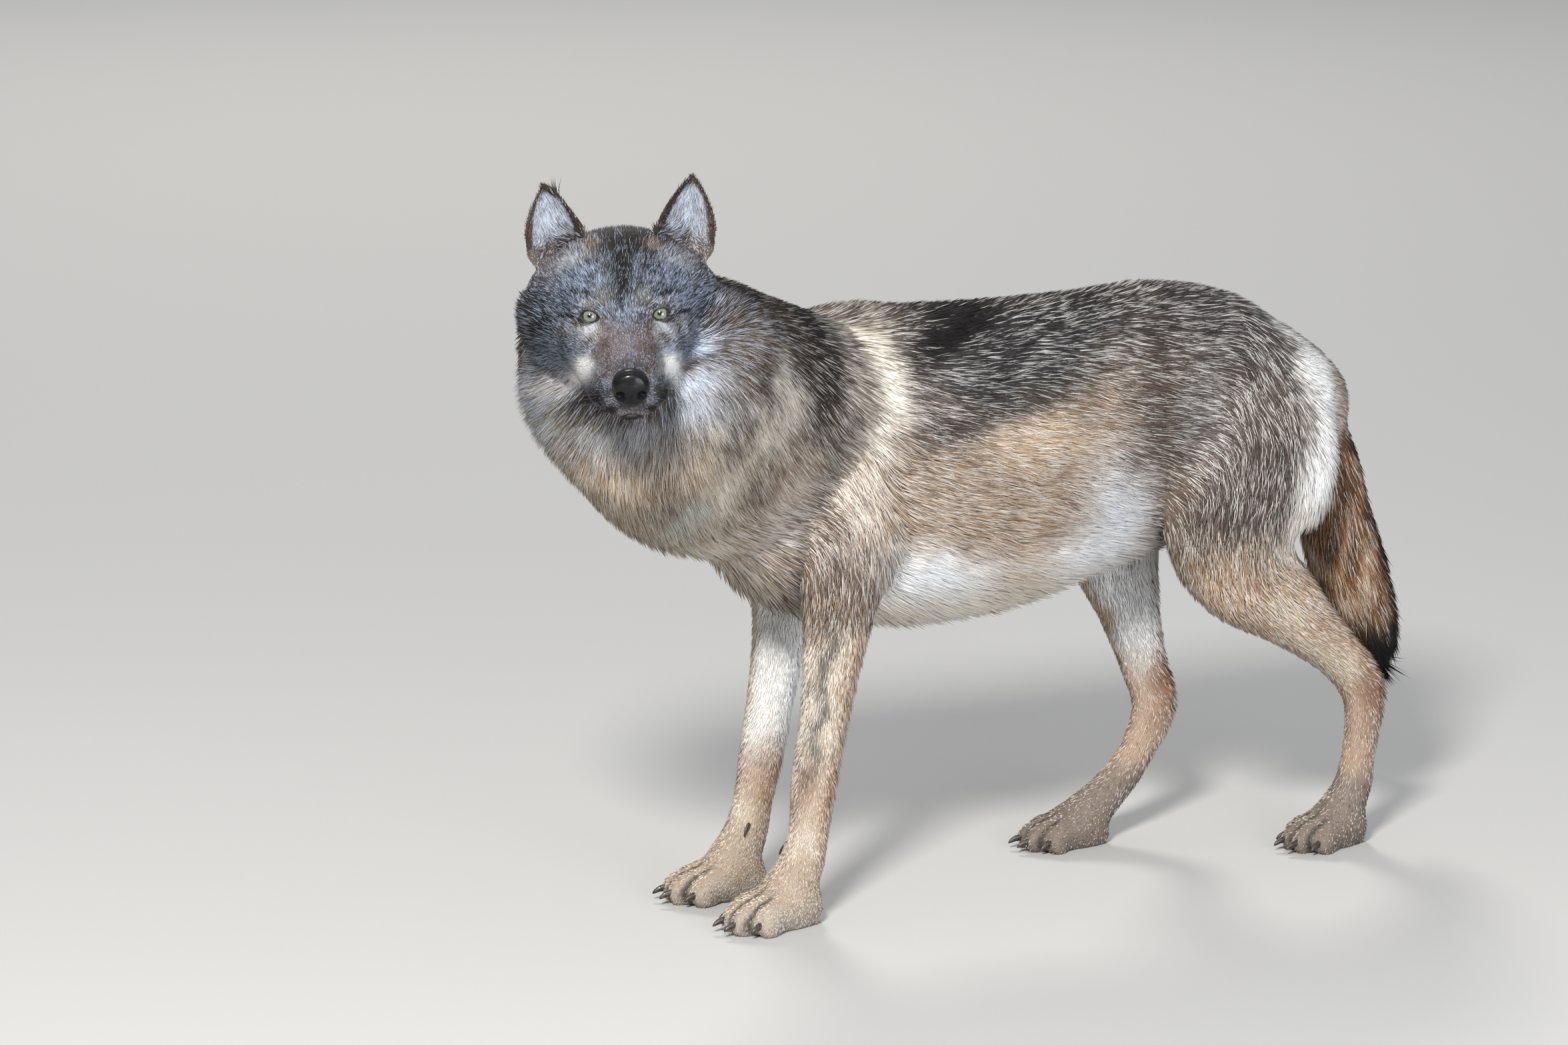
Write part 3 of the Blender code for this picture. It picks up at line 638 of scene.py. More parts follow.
def ear_inside(mm):
    """1 on the hollow front of an ear's cup, less than 1 near its rim."""
    aside = abs(mm[:, 1])
    rise = np.clip((mm[:, 2] - EAR_BASE[2]) / EAR_TALL, 0, 1)
    wide = EAR_HALF_WIDTH * np.maximum(1 - rise ** 2.2, 0.05) ** 0.85
    from_middle = (aside - (EAR_BASE[1] + EAR_LEAN * rise)) / wide
    hollow = EAR_BASE[0] - (EAR_CUP * (1 - rise) ** 0.7 + 3) * np.clip(1 - from_middle ** 2, 0, 1)
    in_front = (mm[:, 0] > hollow - 3.5) * fall(abs(from_middle), 0.66, 0.80)
    return in_front * fall(rise, 0.84, 0.93)


def head_depth(mm):
    """Depth of the coat on the head: thin on the face and ears, deep on cheeks, nape and throat."""
    rows = np.array(HEAD[::-1], float)
    ahead = mm[:, 0]
    above, beside, below = [np.interp(ahead, rows[:, 0], rows[:, k]) for k in (5, 6, 7)]
    wide = np.interp(ahead, rows[:, 0], rows[:, 4])
    tall = np.interp(ahead, rows[:, 0], rows[:, 1] - rows[:, 3]) / 2
    middle = np.interp(ahead, rows[:, 0], rows[:, 2])
    aside, up = (mm[:, 1] / wide) ** 2, (mm[:, 2] - middle) / tall
    total = aside + up ** 2 + 1e-6
    depth = (beside * aside + np.where(up > 0, above, below) * up ** 2) / total
    return (depth + ear_share(mm) * (2.0 - depth)) / 1000


class Hide:
    """What the hide is at many points: shares of each part, lie of the hair and coat's depth."""

    def __init__(self, points):
        self.points = points
        self.mm = in_head(points)
        shares, self.run, self.depth = [], [], []
        for name in PART_NAMES[:-1]:
            centres, radius, way, depth = axis_of(name)
            away = [np.linalg.norm(points - c, axis=1) / r for c, r in zip(centres, radius)]
            away = np.stack(away, 1)
            near = away.argmin(1)
            shares.append(-SHARPNESS * away.min(1))
            down = DOWNWARD.get(name, 0.0)
            self.run.append(way[near] + np.array([0, 0, -down]))
            self.depth.append(depth[near])
        rows = smooth_rows([(a, 0, (t + b) / 2, (t - b) / 2, w, 0) for a, t, m, b, w, *_ in HEAD], 40)
        away = [np.linalg.norm((self.mm - r[:3]) / (40, r[4], r[3]), axis=1) for r in rows]
        away = np.stack(away, 1)
        ears = ear_share(self.mm)[:, None]
        nearer = away.min(1) - FACE_LEAD * fall(-self.mm[:, 0], 105, 150)
        shares.append(-SHARPNESS * nearer * (1 - ears[:, 0]))
        away = unit(self.mm - NOSE_TIP)
        away[:, 2] -= 0.45 * ramp(-self.mm[:, 2], 40, 120) * ramp(-self.mm[:, 0], -30, 60)
        sign = np.where(self.mm[:, 1:2] < 0, -1, 1)
        away = away + ears * (EAR_RUN * np.concatenate([sign ** 2, sign, sign ** 2], 1) - away)
        self.run.append(away @ HEAD_AXES)
        self.depth.append(head_depth(self.mm))
        shares = np.exp(np.array(shares) - np.max(shares, axis=0))
        self.shares = shares / shares.sum(0)
        self.depth = (self.shares * self.depth).sum(0)
        self.run = unit((self.shares[..., None] * self.run).sum(0))

    def part(self, *names):
        """The share of the named parts together, from 0 to 1."""
        return sum(self.shares[PART_NAMES.index(name)] for name in names)


def mottle(points, size, seed):
    """Smooth random field from 0 to 1: hashed values at the corners of cubes, blended between."""
    q = points / size + 100.0 + seed * 7.31
    cell = np.floor(q).astype(np.int64)
    f = q - cell
    f = f * f * (3 - 2 * f)
    total = np.zeros(len(points))
    for corner in np.ndindex(2, 2, 2):
        k = cell + corner
        mixed = (k[:, 0] * 73856093) ^ (k[:, 1] * 19349663) ^ (k[:, 2] * 83492791) ^ (seed * 26544357)
        mixed = ((mixed ^ (mixed >> 13)) * 1274126177) & 0xFFFFFFFF
        value = ((mixed ^ (mixed >> 15)) & 0xFFFF) / 65535
        total += value * np.where(corner, f, 1 - f).prod(1)
    return total


# ======================================================================== markings
# A grey wolf's coat: grizzled saddle over a tan flank, dark and pale bands on the shoulder, cream
# belly, throat and rump, grey face. Some marks are painted shade: the face's greys are cooled to
# blue and darkened, the cheek on one side is greyer, a sharp black bar slants over the saddle as a
# painted shadow, and dark lines fill the gaps between the toes. Skin and hair both take their
# colours from here.


def tint(red, green, blue):
    """A colour of 0 to 255 as shown, as light."""
    c = np.array([red, green, blue]) / 255
    return np.where(c <= 0.04045, c / 12.92, ((c + 0.055) / 1.055) ** 2.4)


BLACK, SOOT, SLATE = tint(16, 14, 14), tint(46, 42, 40), tint(92, 89, 88)
# The bluish white among these is white hair with painted shade: the cool cast of shade, for the face.
GREY, COOL_SHADE_WHITE, ASH = tint(128, 128, 130), tint(168, 184, 208), tint(182, 179, 173)
WHITE, CREAM, BUFF = tint(250, 249, 247), tint(228, 216, 198), tint(198, 172, 144)
TAN, BROWN, UMBER = tint(172, 146, 120), tint(114, 94, 78), tint(66, 54, 46)
IVORY = tint(234, 231, 226)
CINNAMON, RUST = tint(142, 98, 70), tint(160, 104, 58)

# Marks of the coat in side view: x, z, reach along and across in metres, lean in degrees, colour,
# strength, share of black tips, share of pale tips.
SIDE_MARKS = [
    (-0.05, 0.590, 0.090, 0.035, 0, BUFF, 0.7, 0.12, 0.40),        # light top of the flank
    (-0.10, 0.420, 0.150, 0.035, -4, BUFF, 0.8, 0.08, 0.45),       # edge of the belly
    (-0.195, 0.430, 0.105, 0.038, -6, WHITE, 1.0, 0.0, 0.6),       # white behind the elbow
    (0.085, 0.475, 0.055, 0.075, 12, tint(214, 216, 220), 1.0, 0.0, 0.6),   # white groin
    (0.050, 0.430, 0.070, 0.030, 0, WHITE, 0.9, 0.0, 0.6),
    (-0.300, 0.500, 0.022, 0.075, 0, tint(172, 158, 146), 0.6, 0.1, 0.4),     # pale line above the elbow
    (-0.372, 0.775, 0.045, 0.050, 0, BLACK, 0.95, 0.75, 0.10),     # dark band of the shoulder
    (-0.378, 0.680, 0.044, 0.090, 0, tint(62, 58, 58), 0.95, 0.58, 0.28),
    (-0.372, 0.680, 0.014, 0.100, 0, BLACK, 0.8, 0.8, 0.05),
    (-0.362, 0.560, 0.038, 0.085, 0, tint(78, 71, 67), 0.85, 0.5, 0.25),
    (-0.310, 0.735, 0.022, 0.022, 0, tint(150, 142, 134), 0.7, 0.3, 0.4),     # pale band behind it
    (-0.262, 0.700, 0.026, 0.036, 0, tint(220, 210, 192), 0.9, 0.1, 0.55),
    (-0.262, 0.655, 0.026, 0.036, 0, tint(224, 214, 198), 0.9, 0.08, 0.55),
    (-0.285, 0.610, 0.024, 0.036, 20, tint(200, 190, 176), 0.9, 0.12, 0.5),
    (-0.345, 0.440, 0.042, 0.050, 0, tint(112, 94, 82), 0.85, 0.3, 0.22),     # brown upper arm
    (-0.312, 0.555, 0.020, 0.048, 12, tint(186, 172, 158), 0.8, 0.15, 0.45),
    (-0.190, 0.690, 0.050, 0.030, 0, tint(80, 74, 74), 0.8, 0.55, 0.22),
    (-0.100, 0.634, 0.130, 0.015, 9, tint(74, 66, 62), 0.7, 0.6, 0.2),        # dark edge of the saddle
    (-0.140, 0.722, 0.098, 0.017, 16, BLACK, 1.0, 0.92, 0.0),      # slanting dark bar: a painted shadow across the saddle
    (-0.240, 0.755, 0.060, 0.016, 4, tint(98, 84, 74), 0.85, 0.5, 0.2),
    (-0.400, 0.590, 0.045, 0.060, 0, BUFF, 0.6, 0.2, 0.45),        # tan shoulder
    (-0.405, 0.520, 0.045, 0.065, 0, tint(188, 174, 162), 0.8, 0.15, 0.45),
    (-0.405, 0.740, 0.035, 0.070, 0, UMBER, 0.8, 0.45, 0.15),      # brown mane
    (-0.485, 0.765, 0.040, 0.055, 0, UMBER, 0.9, 0.65, 0.06),      # dark behind the cheek
    (-0.450, 0.700, 0.022, 0.055, 20, CREAM, 0.95, 0.1, 0.55),     # cream streaks of the mane
    (-0.475, 0.655, 0.022, 0.035, 30, CREAM, 0.9, 0.1, 0.55),
    (-0.515, 0.585, 0.020, 0.030, 20, CREAM, 0.9, 0.05, 0.6),
    (-0.555, 0.560, 0.028, 0.030, 20, ASH, 0.9, 0.05, 0.6),
    (-0.590, 0.590, 0.025, 0.045, 10, BROWN, 0.75, 0.3, 0.3),
    (-0.655, 0.635, 0.050, 0.050, 0, BUFF, 0.8, 0.2, 0.5),         # chest
    (-0.500, 0.480, 0.050, 0.045, 35, CREAM, 0.85, 0.05, 0.5),     # front of the breast
    (-0.430, 0.430, 0.030, 0.040, 0, CREAM, 0.6, 0.05, 0.5),
]
HAUNCH_MARKS = [
    (0.200, 0.600, 0.140, 0.110, 0, tint(92, 82, 78), 0.85, 0.45, 0.24),      # grizzled haunch
    (0.240, 0.700, 0.150, 0.050, -8, tint(76, 70, 70), 0.85, 0.5, 0.24),
    (0.145, 0.640, 0.034, 0.085, 0, tint(84, 70, 60), 0.7, 0.5, 0.15),        # dark front of the thigh
    (0.155, 0.520, 0.028, 0.075, 8, tint(90, 74, 62), 0.6, 0.45, 0.15),
    (0.195, 0.600, 0.028, 0.045, 0, GREY, 0.4, 0.4, 0.4),
    (0.355, 0.700, 0.035, 0.028, -35, WHITE, 0.85, 0.15, 0.6),     # pale rump
    (0.392, 0.610, 0.036, 0.080, 0, WHITE, 0.95, 0.05, 0.65),
    (0.360, 0.495, 0.036, 0.070, -20, WHITE, 0.9, 0.03, 0.6),
    (0.330, 0.430, 0.030, 0.040, -25, CREAM, 0.7, 0.05, 0.5),
    (0.270, 0.370, 0.060, 0.022, -28, CINNAMON, 0.5, 0.15, 0.3),   # back of the lower thigh
]

# Marks of the face as seen from ahead: aside, up, reach aside and up in millimetres, lean in
# degrees, colour, strength, share of black tips, share of pale tips.
# The face's greys are painted cool blue and dark: grey hair with painted shade over it.
FACE_MARKS = [
    (0, 40, 74, 50, 0, tint(50, 58, 74), 0.95, 0.52, 0.21),        # forehead of black and white hairs
    (62, 40, 34, 28, -35, tint(84, 98, 120), 0.9, 0.42, 0.36),
    (0, 50, 11, 46, 0, BLACK, 0.9, 0.80, 0.06),         # dark line up the crown
    (0, 98, 42, 32, 0, BLACK, 0.95, 0.85, 0.06),        # dark crown between the ears
    (38, 80, 12, 7, -30, tint(140, 116, 92), 0.7, 0.25, 0.15),     # tufts before the ears
    (60, 66, 20, 9, -25, ASH, 0.6, 0.25, 0.5),
    (24, 22, 9, 9, 20, tint(122, 122, 112), 0.75, 0.3, 0.22),      # brow spots
    (41, 15, 13, 3.5, 0, tint(140, 134, 128), 0.8, 0.15, 0.3),     # tan over the eye
    (48, 26, 18, 5, 6, SOOT, 0.85, 0.75, 0.12),         # dark over that
    (86, 14, 30, 24, 24, tint(68, 80, 100), 0.9, 0.50, 0.32),      # smoky cheek behind the eye
    (93, -14, 14, 18, 0, SOOT, 0.80, 0.70, 0.20),
    (66, 0, 12, 3.5, 8, BLACK, 0.9, 0.85, 0.05),        # dark line behind the eye
    (44, -17, 13, 7, -22, tint(206, 206, 208), 0.8, 0.08, 0.4),    # pale under the eye
    (34, -30, 6, 10, 20, ASH, 0.8, 0.1, 0.5),
    (60, -24, 6, 12, 35, SLATE, 0.8, 0.6, 0.2),
    (54, -42, 15, 9, 0, tint(92, 104, 122), 0.85, 0.45, 0.35),
    (78, -40, 22, 18, 0, tint(100, 114, 132), 0.9, 0.42, 0.42),    # grey cheek with white hairs
    (120, -10, 20, 46, 0, tint(104, 92, 84), 0.85, 0.42, 0.25),    # brown side of the cheek
    (0, -2, 24, 16, 0, tint(78, 88, 106), 0.85, 0.40, 0.32),       # between the eyes
    (25, -12, 6, 11, 0, tint(100, 84, 82), 0.7, 0.2, 0.1),         # inner corners
    (27, -34, 8, 18, 6, tint(110, 86, 76), 0.8, 0.30, 0.12),
    (0, -38, 22, 26, 0, tint(108, 98, 108), 0.9, 0.30, 0.15),      # bridge
    (0, -62, 30, 13, 0, tint(62, 59, 68), 0.9, 0.4, 0.12),
    (39, -58, 3.5, 22, 4, SOOT, 0.9, 0.75, 0.0),
    (51, -64, 13, 19, 12, WHITE, 1.0, 0.0, 0.6),        # white beside the muzzle
    (28, -88, 18, 16, 0, tint(84, 90, 104), 0.95, 0.5, 0.35),      # speckled lips
    (0, -106, 26, 6, 0, SLATE, 0.95, 0.6, 0.2),
    (45, -98, 19, 14, -50, BLACK, 1.0, 0.95, 0.0),      # black corners of the mouth
    (28, -110, 15, 5, -25, BLACK, 0.9, 0.9, 0.02),
    (0, -119, 22, 5, 0, BLACK, 0.95, 0.9, 0.0),         # chin
]
# Marks of both head and neck round the face, aside with its own sign, so that the cheek on one side can be
# painted greyer as shade.
RUFF_MARKS = [
    (0, 98, 44, 34, 0, BLACK, 0.95, 0.85, 0.06),        # dark crown
    (128, 24, 32, 50, 0, tint(40, 37, 38), 0.95, 0.6, 0.06),       # dark behind the cheeks
    (-128, 10, 26, 42, 0, tint(70, 64, 64), 0.85, 0.5, 0.15),
    (92, -37, 16, 17, 0, tint(232, 238, 246), 1.0, 0.06, 0.6),     # white on the cheek
    # The same white cheek on the other side, grey and weaker: painted shade.
    (-92, -40, 16, 18, 0, ASH, 0.6, 0.2, 0.5),
    (84, -84, 36, 16, 26, tint(184, 188, 194), 0.9, 0.15, 0.5),    # white ruff
    (-88, -82, 38, 24, -20, tint(206, 204, 198), 0.95, 0.08, 0.6),
    (80, -114, 40, 18, 10, tint(156, 160, 166), 0.9, 0.2, 0.45),
    (-92, -124, 50, 24, -10, tint(160, 156, 140), 0.9, 0.15, 0.5),
    (0, -144, 60, 26, 0, tint(158, 158, 156), 0.95, 0.12, 0.4),    # throat
    (80, -60, 38, 4.5, 24, UMBER, 0.9, 0.35, 0.0),      # thin brown line over the ruff
]
LOOK_DOWN = np.radians(18.5)           # the face marks are laid from this far above
TOE_GAP_SHADE = 0.0028                    # half width of the painted shade in the gap between two toes
TAIL_HEIGHTS = [0.22, 0.27, 0.35, 0.44, 0.53, 0.65]
TAIL_MIDDLES = [0.540, 0.524, 0.494, 0.468, 0.450, 0.385]     # x of the tail's middle at each height


class Markings:
    """Base colour and the shares of black and pale hair tips at a Hide's points."""

    def __init__(self, hide):
        points, n = hide.points, len(hide.points)
        self.hide = hide
        self.base = np.tile(TAN, (n, 1))
        self.black = np.full(n, 0.2)
        self.pale = np.full(n, 0.35)
        self.x, self.y, self.z = (points + (mottle(points, 0.030, 3) - 0.5)[:, None] * 0.022).T
        self.blotch = mottle(points, 0.045, 5) - 0.5
        self.haunch, self.shoulder = hide.part(*HIND_LEGS), hide.part(*FORELEGS)
        self.body()
        self.legs()
        self.tail()
        self.face()

    def lay(self, share, colour, black, pale):
        """Blends a colour and its shares of tips over what is there, as far as the share says."""
        share = np.clip(share, 0, 1)
        self.base = self.base + share[:, None] * (colour - self.base)
        self.black = self.black + share * (black - self.black)
        self.pale = self.pale + share * (pale - self.pale)

    def strokes(self, marks, across_of, up_of, where):
        """Each mark is a soft oval: e to minus the sum of its two reaches to the power 2.6."""
        for at, up, wide, high, lean, colour, strength, black, pale in marks:
            c, s = np.cos(np.radians(lean)), np.sin(np.radians(lean))
            da, du = across_of - at, up_of - up
            along, across = da * c + du * s, du * c - da * s
            share = np.exp(-(abs(along / wide) ** 2.6) - abs(across / high) ** 2.6)
            self.lay(strength * share * where, colour, black, pale)

    def body(self):
        hide, x, z, blotch = self.hide, self.x, self.z, self.blotch
        trunk, neck, haunch, shoulder = hide.part("trunk"), hide.part("neck"), self.haunch, self.shoulder
        body = 1 - hide.part("head") - hide.part("tail")
        line = np.interp(x, [-0.30, -0.02, 0.14, 0.32], [0.610, 0.635, 0.680, 0.650])
        self.lay(ramp(z, 0.46, 0.56) * body, tint(164, 142, 122), 0.20, 0.34)
        upper = trunk + 0.8 * haunch + shoulder
        self.lay(ramp(z + 0.05 * blotch - line, -0.060, 0.045) * upper,
                 tint(62, 59, 61), 0.60, 0.20)
        self.lay(ramp(z + 0.03 * blotch, 0.700, 0.755) * trunk * ramp(x, -0.12, 0.0),
                 SOOT, 0.72, 0.18)
        self.lay(0.8 * ramp(z + 0.02 * blotch, 0.725, 0.755) * upper, tint(76, 68, 64), 0.55, 0.22)
        self.lay(fall(z + 0.03 * blotch, 0.39, 0.455) * trunk, CREAM, 0.04, 0.55)
        self.lay(haunch * ramp(z, 0.38, 0.46), tint(100, 88, 80), 0.42, 0.26)
        self.lay(0.8 * shoulder * ramp(z, 0.42, 0.50) * fall(z, 0.54, 0.62),
                 tint(168, 150, 134), 0.2, 0.40)
        self.lay(neck, tint(108, 94, 84), 0.34, 0.28)
        self.lay(neck * ramp(z + 0.06 * blotch, 0.70, 0.78), UMBER, 0.6, 0.15)
        streak = mottle(hide.points * (1.0, 1.0, 0.45), 0.011, 15)
        self.lay(neck * ramp(streak, 0.50, 0.66) * (0.5 - 0.4 * ramp(z, 0.70, 0.76)), CREAM, 0.1, 0.5)
        self.lay(neck * fall(streak, 0.30, 0.44) * 0.45, UMBER, 0.6, 0.1)
        self.lay(neck * fall(z, 0.60, 0.68) * ramp(-x, 0.44, 0.52),
                 tint(196, 176, 148), 0.22, 0.5)
        self.strokes(SIDE_MARKS, x, z, body * (1 - haunch))
        self.strokes(HAUNCH_MARKS, x, z, haunch + trunk * ramp(x, 0.02, 0.10))

    def legs(self):
        hide, haunch, shoulder = self.hide, self.haunch, self.shoulder
        x, y, z = self.x, self.y, self.z
        inside = ramp(-abs(y), -0.090, -0.070)
        self.lay(haunch * fall(z, 0.34, 0.42), tint(184, 156, 132), 0.12, 0.38)
        self.lay(shoulder * fall(z, 0.38, 0.45), tint(190, 162, 134), 0.14, 0.4)
        front = ramp(-(x + 0.30) - 0.12 * (0.40 - z), 0.0, 0.03) * shoulder
        self.lay(0.85 * front * fall(z, 0.34, 0.40), CREAM, 0.05, 0.5)
        self.lay(0.8 * shoulder * ramp(z, 0.34, 0.39) * fall(z, 0.44, 0.50),
                 tint(116, 98, 86), 0.28, 0.26)
        self.lay(inside * fall(z, 0.42, 0.50) * ramp(z, 0.14, 0.22) * shoulder, WHITE, 0.02, 0.5)
        self.lay(0.9 * inside * fall(z, 0.42, 0.50) * ramp(z, 0.18, 0.27) * haunch,
                 tint(206, 208, 210), 0.08, 0.5)
        speckle = np.exp(-((x + 0.350 + 0.14 * (0.28 - z)) / 0.009) ** 2)
        speckle = speckle * (y < -0.05) * ramp(-y, 0.080, 0.095)
        self.lay(0.75 * speckle * ramp(z, 0.14, 0.20) * fall(z, 0.34, 0.42) * shoulder,
                 SLATE, 0.55, 0.2)
        gaskin = np.exp(-((z - (0.335 - 0.72 * (x - 0.30))) / 0.022) ** 2) * ramp(x, 0.27, 0.31)
        self.lay(0.8 * gaskin * haunch * fall(z, 0.36, 0.42), tint(205, 190, 166), 0.1, 0.5)
        self.lay(0.45 * shoulder * np.exp(-((z - 0.165) / 0.045) ** 2), RUST, 0.12, 0.3)
        hock = np.exp(-((z - 0.205) / 0.050) ** 2) * ramp(x - np.where(y > 0, 0.235, 0.440), -0.01, 0.02)
        self.lay(0.85 * hock * haunch, CINNAMON, 0.2, 0.2)
        low = fall(z, 0.075, 0.12) * (shoulder + haunch)
        self.lay(0.8 * low * shoulder, tint(176, 152, 128), 0.2, 0.4)
        self.lay(0.85 * low * haunch, tint(122, 108, 100), 0.25, 0.3)
        self.lay(0.7 * low * fall(z, 0.020, 0.036) * shoulder, tint(190, 178, 164), 0.15, 0.5)
        for leg in LEGS:
            origin, axes, scale = paw_frame(leg)
            ahead, aside, _ = ((hide.points - origin) @ axes.T / scale).T
            # Painted shade: a dark line along each gap between two toes.
            for (tip, one, knuckle, first), (_, two, _, second) in zip(TOES, TOES[1:]):
                way = np.clip((ahead - knuckle) / (tip - knuckle), -0.6, 1.2)
                between = (first + second) / 2 + way * (one + two - first - second) / 2
                gap_shade = np.exp(-((aside - between) / TOE_GAP_SHADE) ** 2) * ramp(ahead, 0.030, 0.050)
                self.lay(0.85 * gap_shade * (ahead < 0.12) * fall(z, 0.05, 0.07), SOOT, 0.8, 0.0)

    def tail(self):
        hide, x, z = self.hide, self.x, self.z
        tail = hide.part("tail")
        rear = x - np.interp(z, TAIL_HEIGHTS, TAIL_MIDDLES)
        strand = mottle(hide.points * (1.0, 1.0, 0.3), 0.012, 17)
        self.lay(tail, tint(140, 98, 62), 0.35, 0.2)
        self.lay(0.35 * tail * ramp(strand, 0.5, 0.65), BUFF, 0.1, 0.4)
        self.lay(0.4 * tail * fall(strand, 0.32, 0.45), UMBER, 0.6, 0.1)
        self.lay(tail * ramp(rear, 0.012, 0.032), SOOT, 0.85, 0.05)
        self.lay(0.8 * tail * ramp(z, 0.50, 0.58), UMBER, 0.55, 0.25)
        self.lay(tail * fall(z, 0.255, 0.32), BLACK, 0.95, 0.0)

    def face(self):
        hide = self.hide
        mm = hide.mm + 5 * (mottle(hide.points, 0.010, 9) - 0.5)[:, None]
        seen_up = mm[:, 2] * np.cos(LOOK_DOWN) - mm[:, 0] * np.sin(LOOK_DOWN)
        head = hide.part("head")
        self.lay(head, BROWN, 0.5, 0.32)
        around = (head + hide.part("neck")) * ramp(mm[:, 0], -175, -135)
        self.strokes(RUFF_MARKS, mm[:, 1], seen_up, around)
        self.strokes(FACE_MARKS, abs(mm[:, 1]), seen_up, head * ramp(mm[:, 0], -150, -110))
        ear = ear_share(hide.mm)
        inner = ear * ear_inside(hide.mm)
        rim = ear * ramp(abs(mm[:, 1]) + 0.4 * mm[:, 2], 128, 142)
        self.lay(ear, UMBER, 0.45, 0.05)
        self.lay(0.5 * rim, BROWN, 0.3, 0.05)
        self.lay(0.95 * inner, tint(142, 144, 150), 0.15, 0.45)


# ======================================================================== skin
# One hide over the whole animal, hidden by the coat but for the lids, lips and soles. It bears
# the coat's own colours, darkened for the undercoat and as painted shade under the hair, and its
# eye rims and lips are bare and black.

BARE = tint(20, 18, 18)
UNDERCOAT_AND_SHADE = 0.64                       # the hide is darker than the hair over it: its undercoat, and painted shade under the hair
BLACK_SHOWS, PALE_SHOWS = 0.7, 0.4     # how much the shares of tips tell in the hide's own colour
FLESH = ["head", "jaw", "neck", "trunk", "tail", "ear_left", "ear_right"]
FLESH += [f"{piece}_{leg}" for leg in LEGS for piece in
          (("paw", "pastern", "forearm") if "fore" in leg else ("paw", "hock", "thigh"))]


class Shade:
    """A shader value. Arithmetic on it adds Math nodes, and node() adds any other node."""

    def __init__(self, tree, link=None):
        self.tree, self.link = tree, link

    def node(self, kind, settings=None, sockets=None, output=0):
        """Adds a node: its settings first, then the values or links of its sockets."""
        made = self.tree.nodes.new(kind)
        for name, value in (settings or {}).items():
            if name == "stops":
                for _ in value[2:]:
                    made.color_ramp.elements.new(0.5)
                for element, (at, colour) in zip(made.color_ramp.elements, value):
                    element.position, element.color = at, (*colour, 1)
            else:
                setattr(made, name, value)
        for place, value in (sockets or {}).items():
            if isinstance(value, Shade):
                self.tree.links.new(value.link, made.inputs[place])
            else:
                made.inputs[place].default_value = value
        return Shade(self.tree, made.outputs[output])

    def feed(self, name, value):
        """Links a value to the Principled shader."""
        self.tree.links.new(value.link, self.tree.nodes["Principled BSDF"].inputs[name])

    def noise(self, scale, detail=2.0):
        """Fine noise fixed to the piece."""
        place = self.node("ShaderNodeTexCoord", output=3)
        return self.node("ShaderNodeTexNoise", sockets={"Vector": place, "Scale": scale, "Detail": detail})

    def bump(self, height, strength, distance, sunk=False):
        """Makes heights stand out of the surface, or sink into it."""
        self.feed("Normal", self.node("ShaderNodeBump", {"invert": sunk},
                                      {"Strength": strength, "Distance": distance, "Height": height}))

    def math(self, operation, first, second):
        return self.node("ShaderNodeMath", {"operation": operation}, {0: first, 1: second})

    def __add__(self, other):
        return self.math("ADD", self, other)

    def __radd__(self, other):
        return self.math("ADD", other, self)

    def __sub__(self, other):
        return self.math("SUBTRACT", self, other)

    def __rsub__(self, other):
        return self.math("SUBTRACT", other, self)

    def __mul__(self, other):
        return self.math("MULTIPLY", self, other)

    def __rmul__(self, other):
        return self.math("MULTIPLY", other, self)


def finish_of(name, **fixed):
    """A Principled material with its fixed sockets set, and the Shade that its nodes come from."""
    made = bpy.data.materials.new(name)
    made.use_nodes = True
    shader = made.node_tree.nodes["Principled BSDF"]
    for socket, value in fixed.items():
        shader.inputs[socket.replace("_", " ")].default_value = value
    return made, Shade(made.node_tree)


def hide_finish():
    """The coat's colour, broken into fine streaks that also stand as bumps of short hair."""
    made, shade = finish_of("hide", Specular_IOR_Level=0.3)
    fleck = shade.noise(800.0)
    tone = shade.node("ShaderNodeValToRGB", {"stops": [(0.3, (0.5,) * 3), (0.7, (1.15,) * 3)]}, {0: fleck})
    colour = shade.node("ShaderNodeAttribute", {"attribute_name": "markings"})
    shade.feed("Base Color", shade.node("ShaderNodeMix", {"data_type": "RGBA", "blend_type": "MULTIPLY"},
                                        {0: 0.7, 6: colour, 7: tone}, output=2))
    bare = shade.node("ShaderNodeAttribute", {"attribute_name": "bare"}, output=2)
    shade.feed("Roughness", 0.80 - 0.42 * bare)
    shade.bump(fleck, 0.5, 0.001)
    return made


def off_lid(arcs):
    """How far out of the lids' own shell a place is, so that the bridge isn't taken for a lid."""
    return np.maximum(arcs[:, 0] - EYE_RADIUS - LID_SHELL, 0)


def eye_distance(mm):
    """Arc from the nearer eye's opening, in millimetres, and far for what isn't beside an eye."""
    both = [unrolled(eye_places(mm, sign)) for sign in (-1, 1)]
    return np.minimum(*[np.where(arcs[:, 0] < EYE_REACH, lid_gap(arcs) + off_lid(arcs), 99.0)
                        for arcs in both])


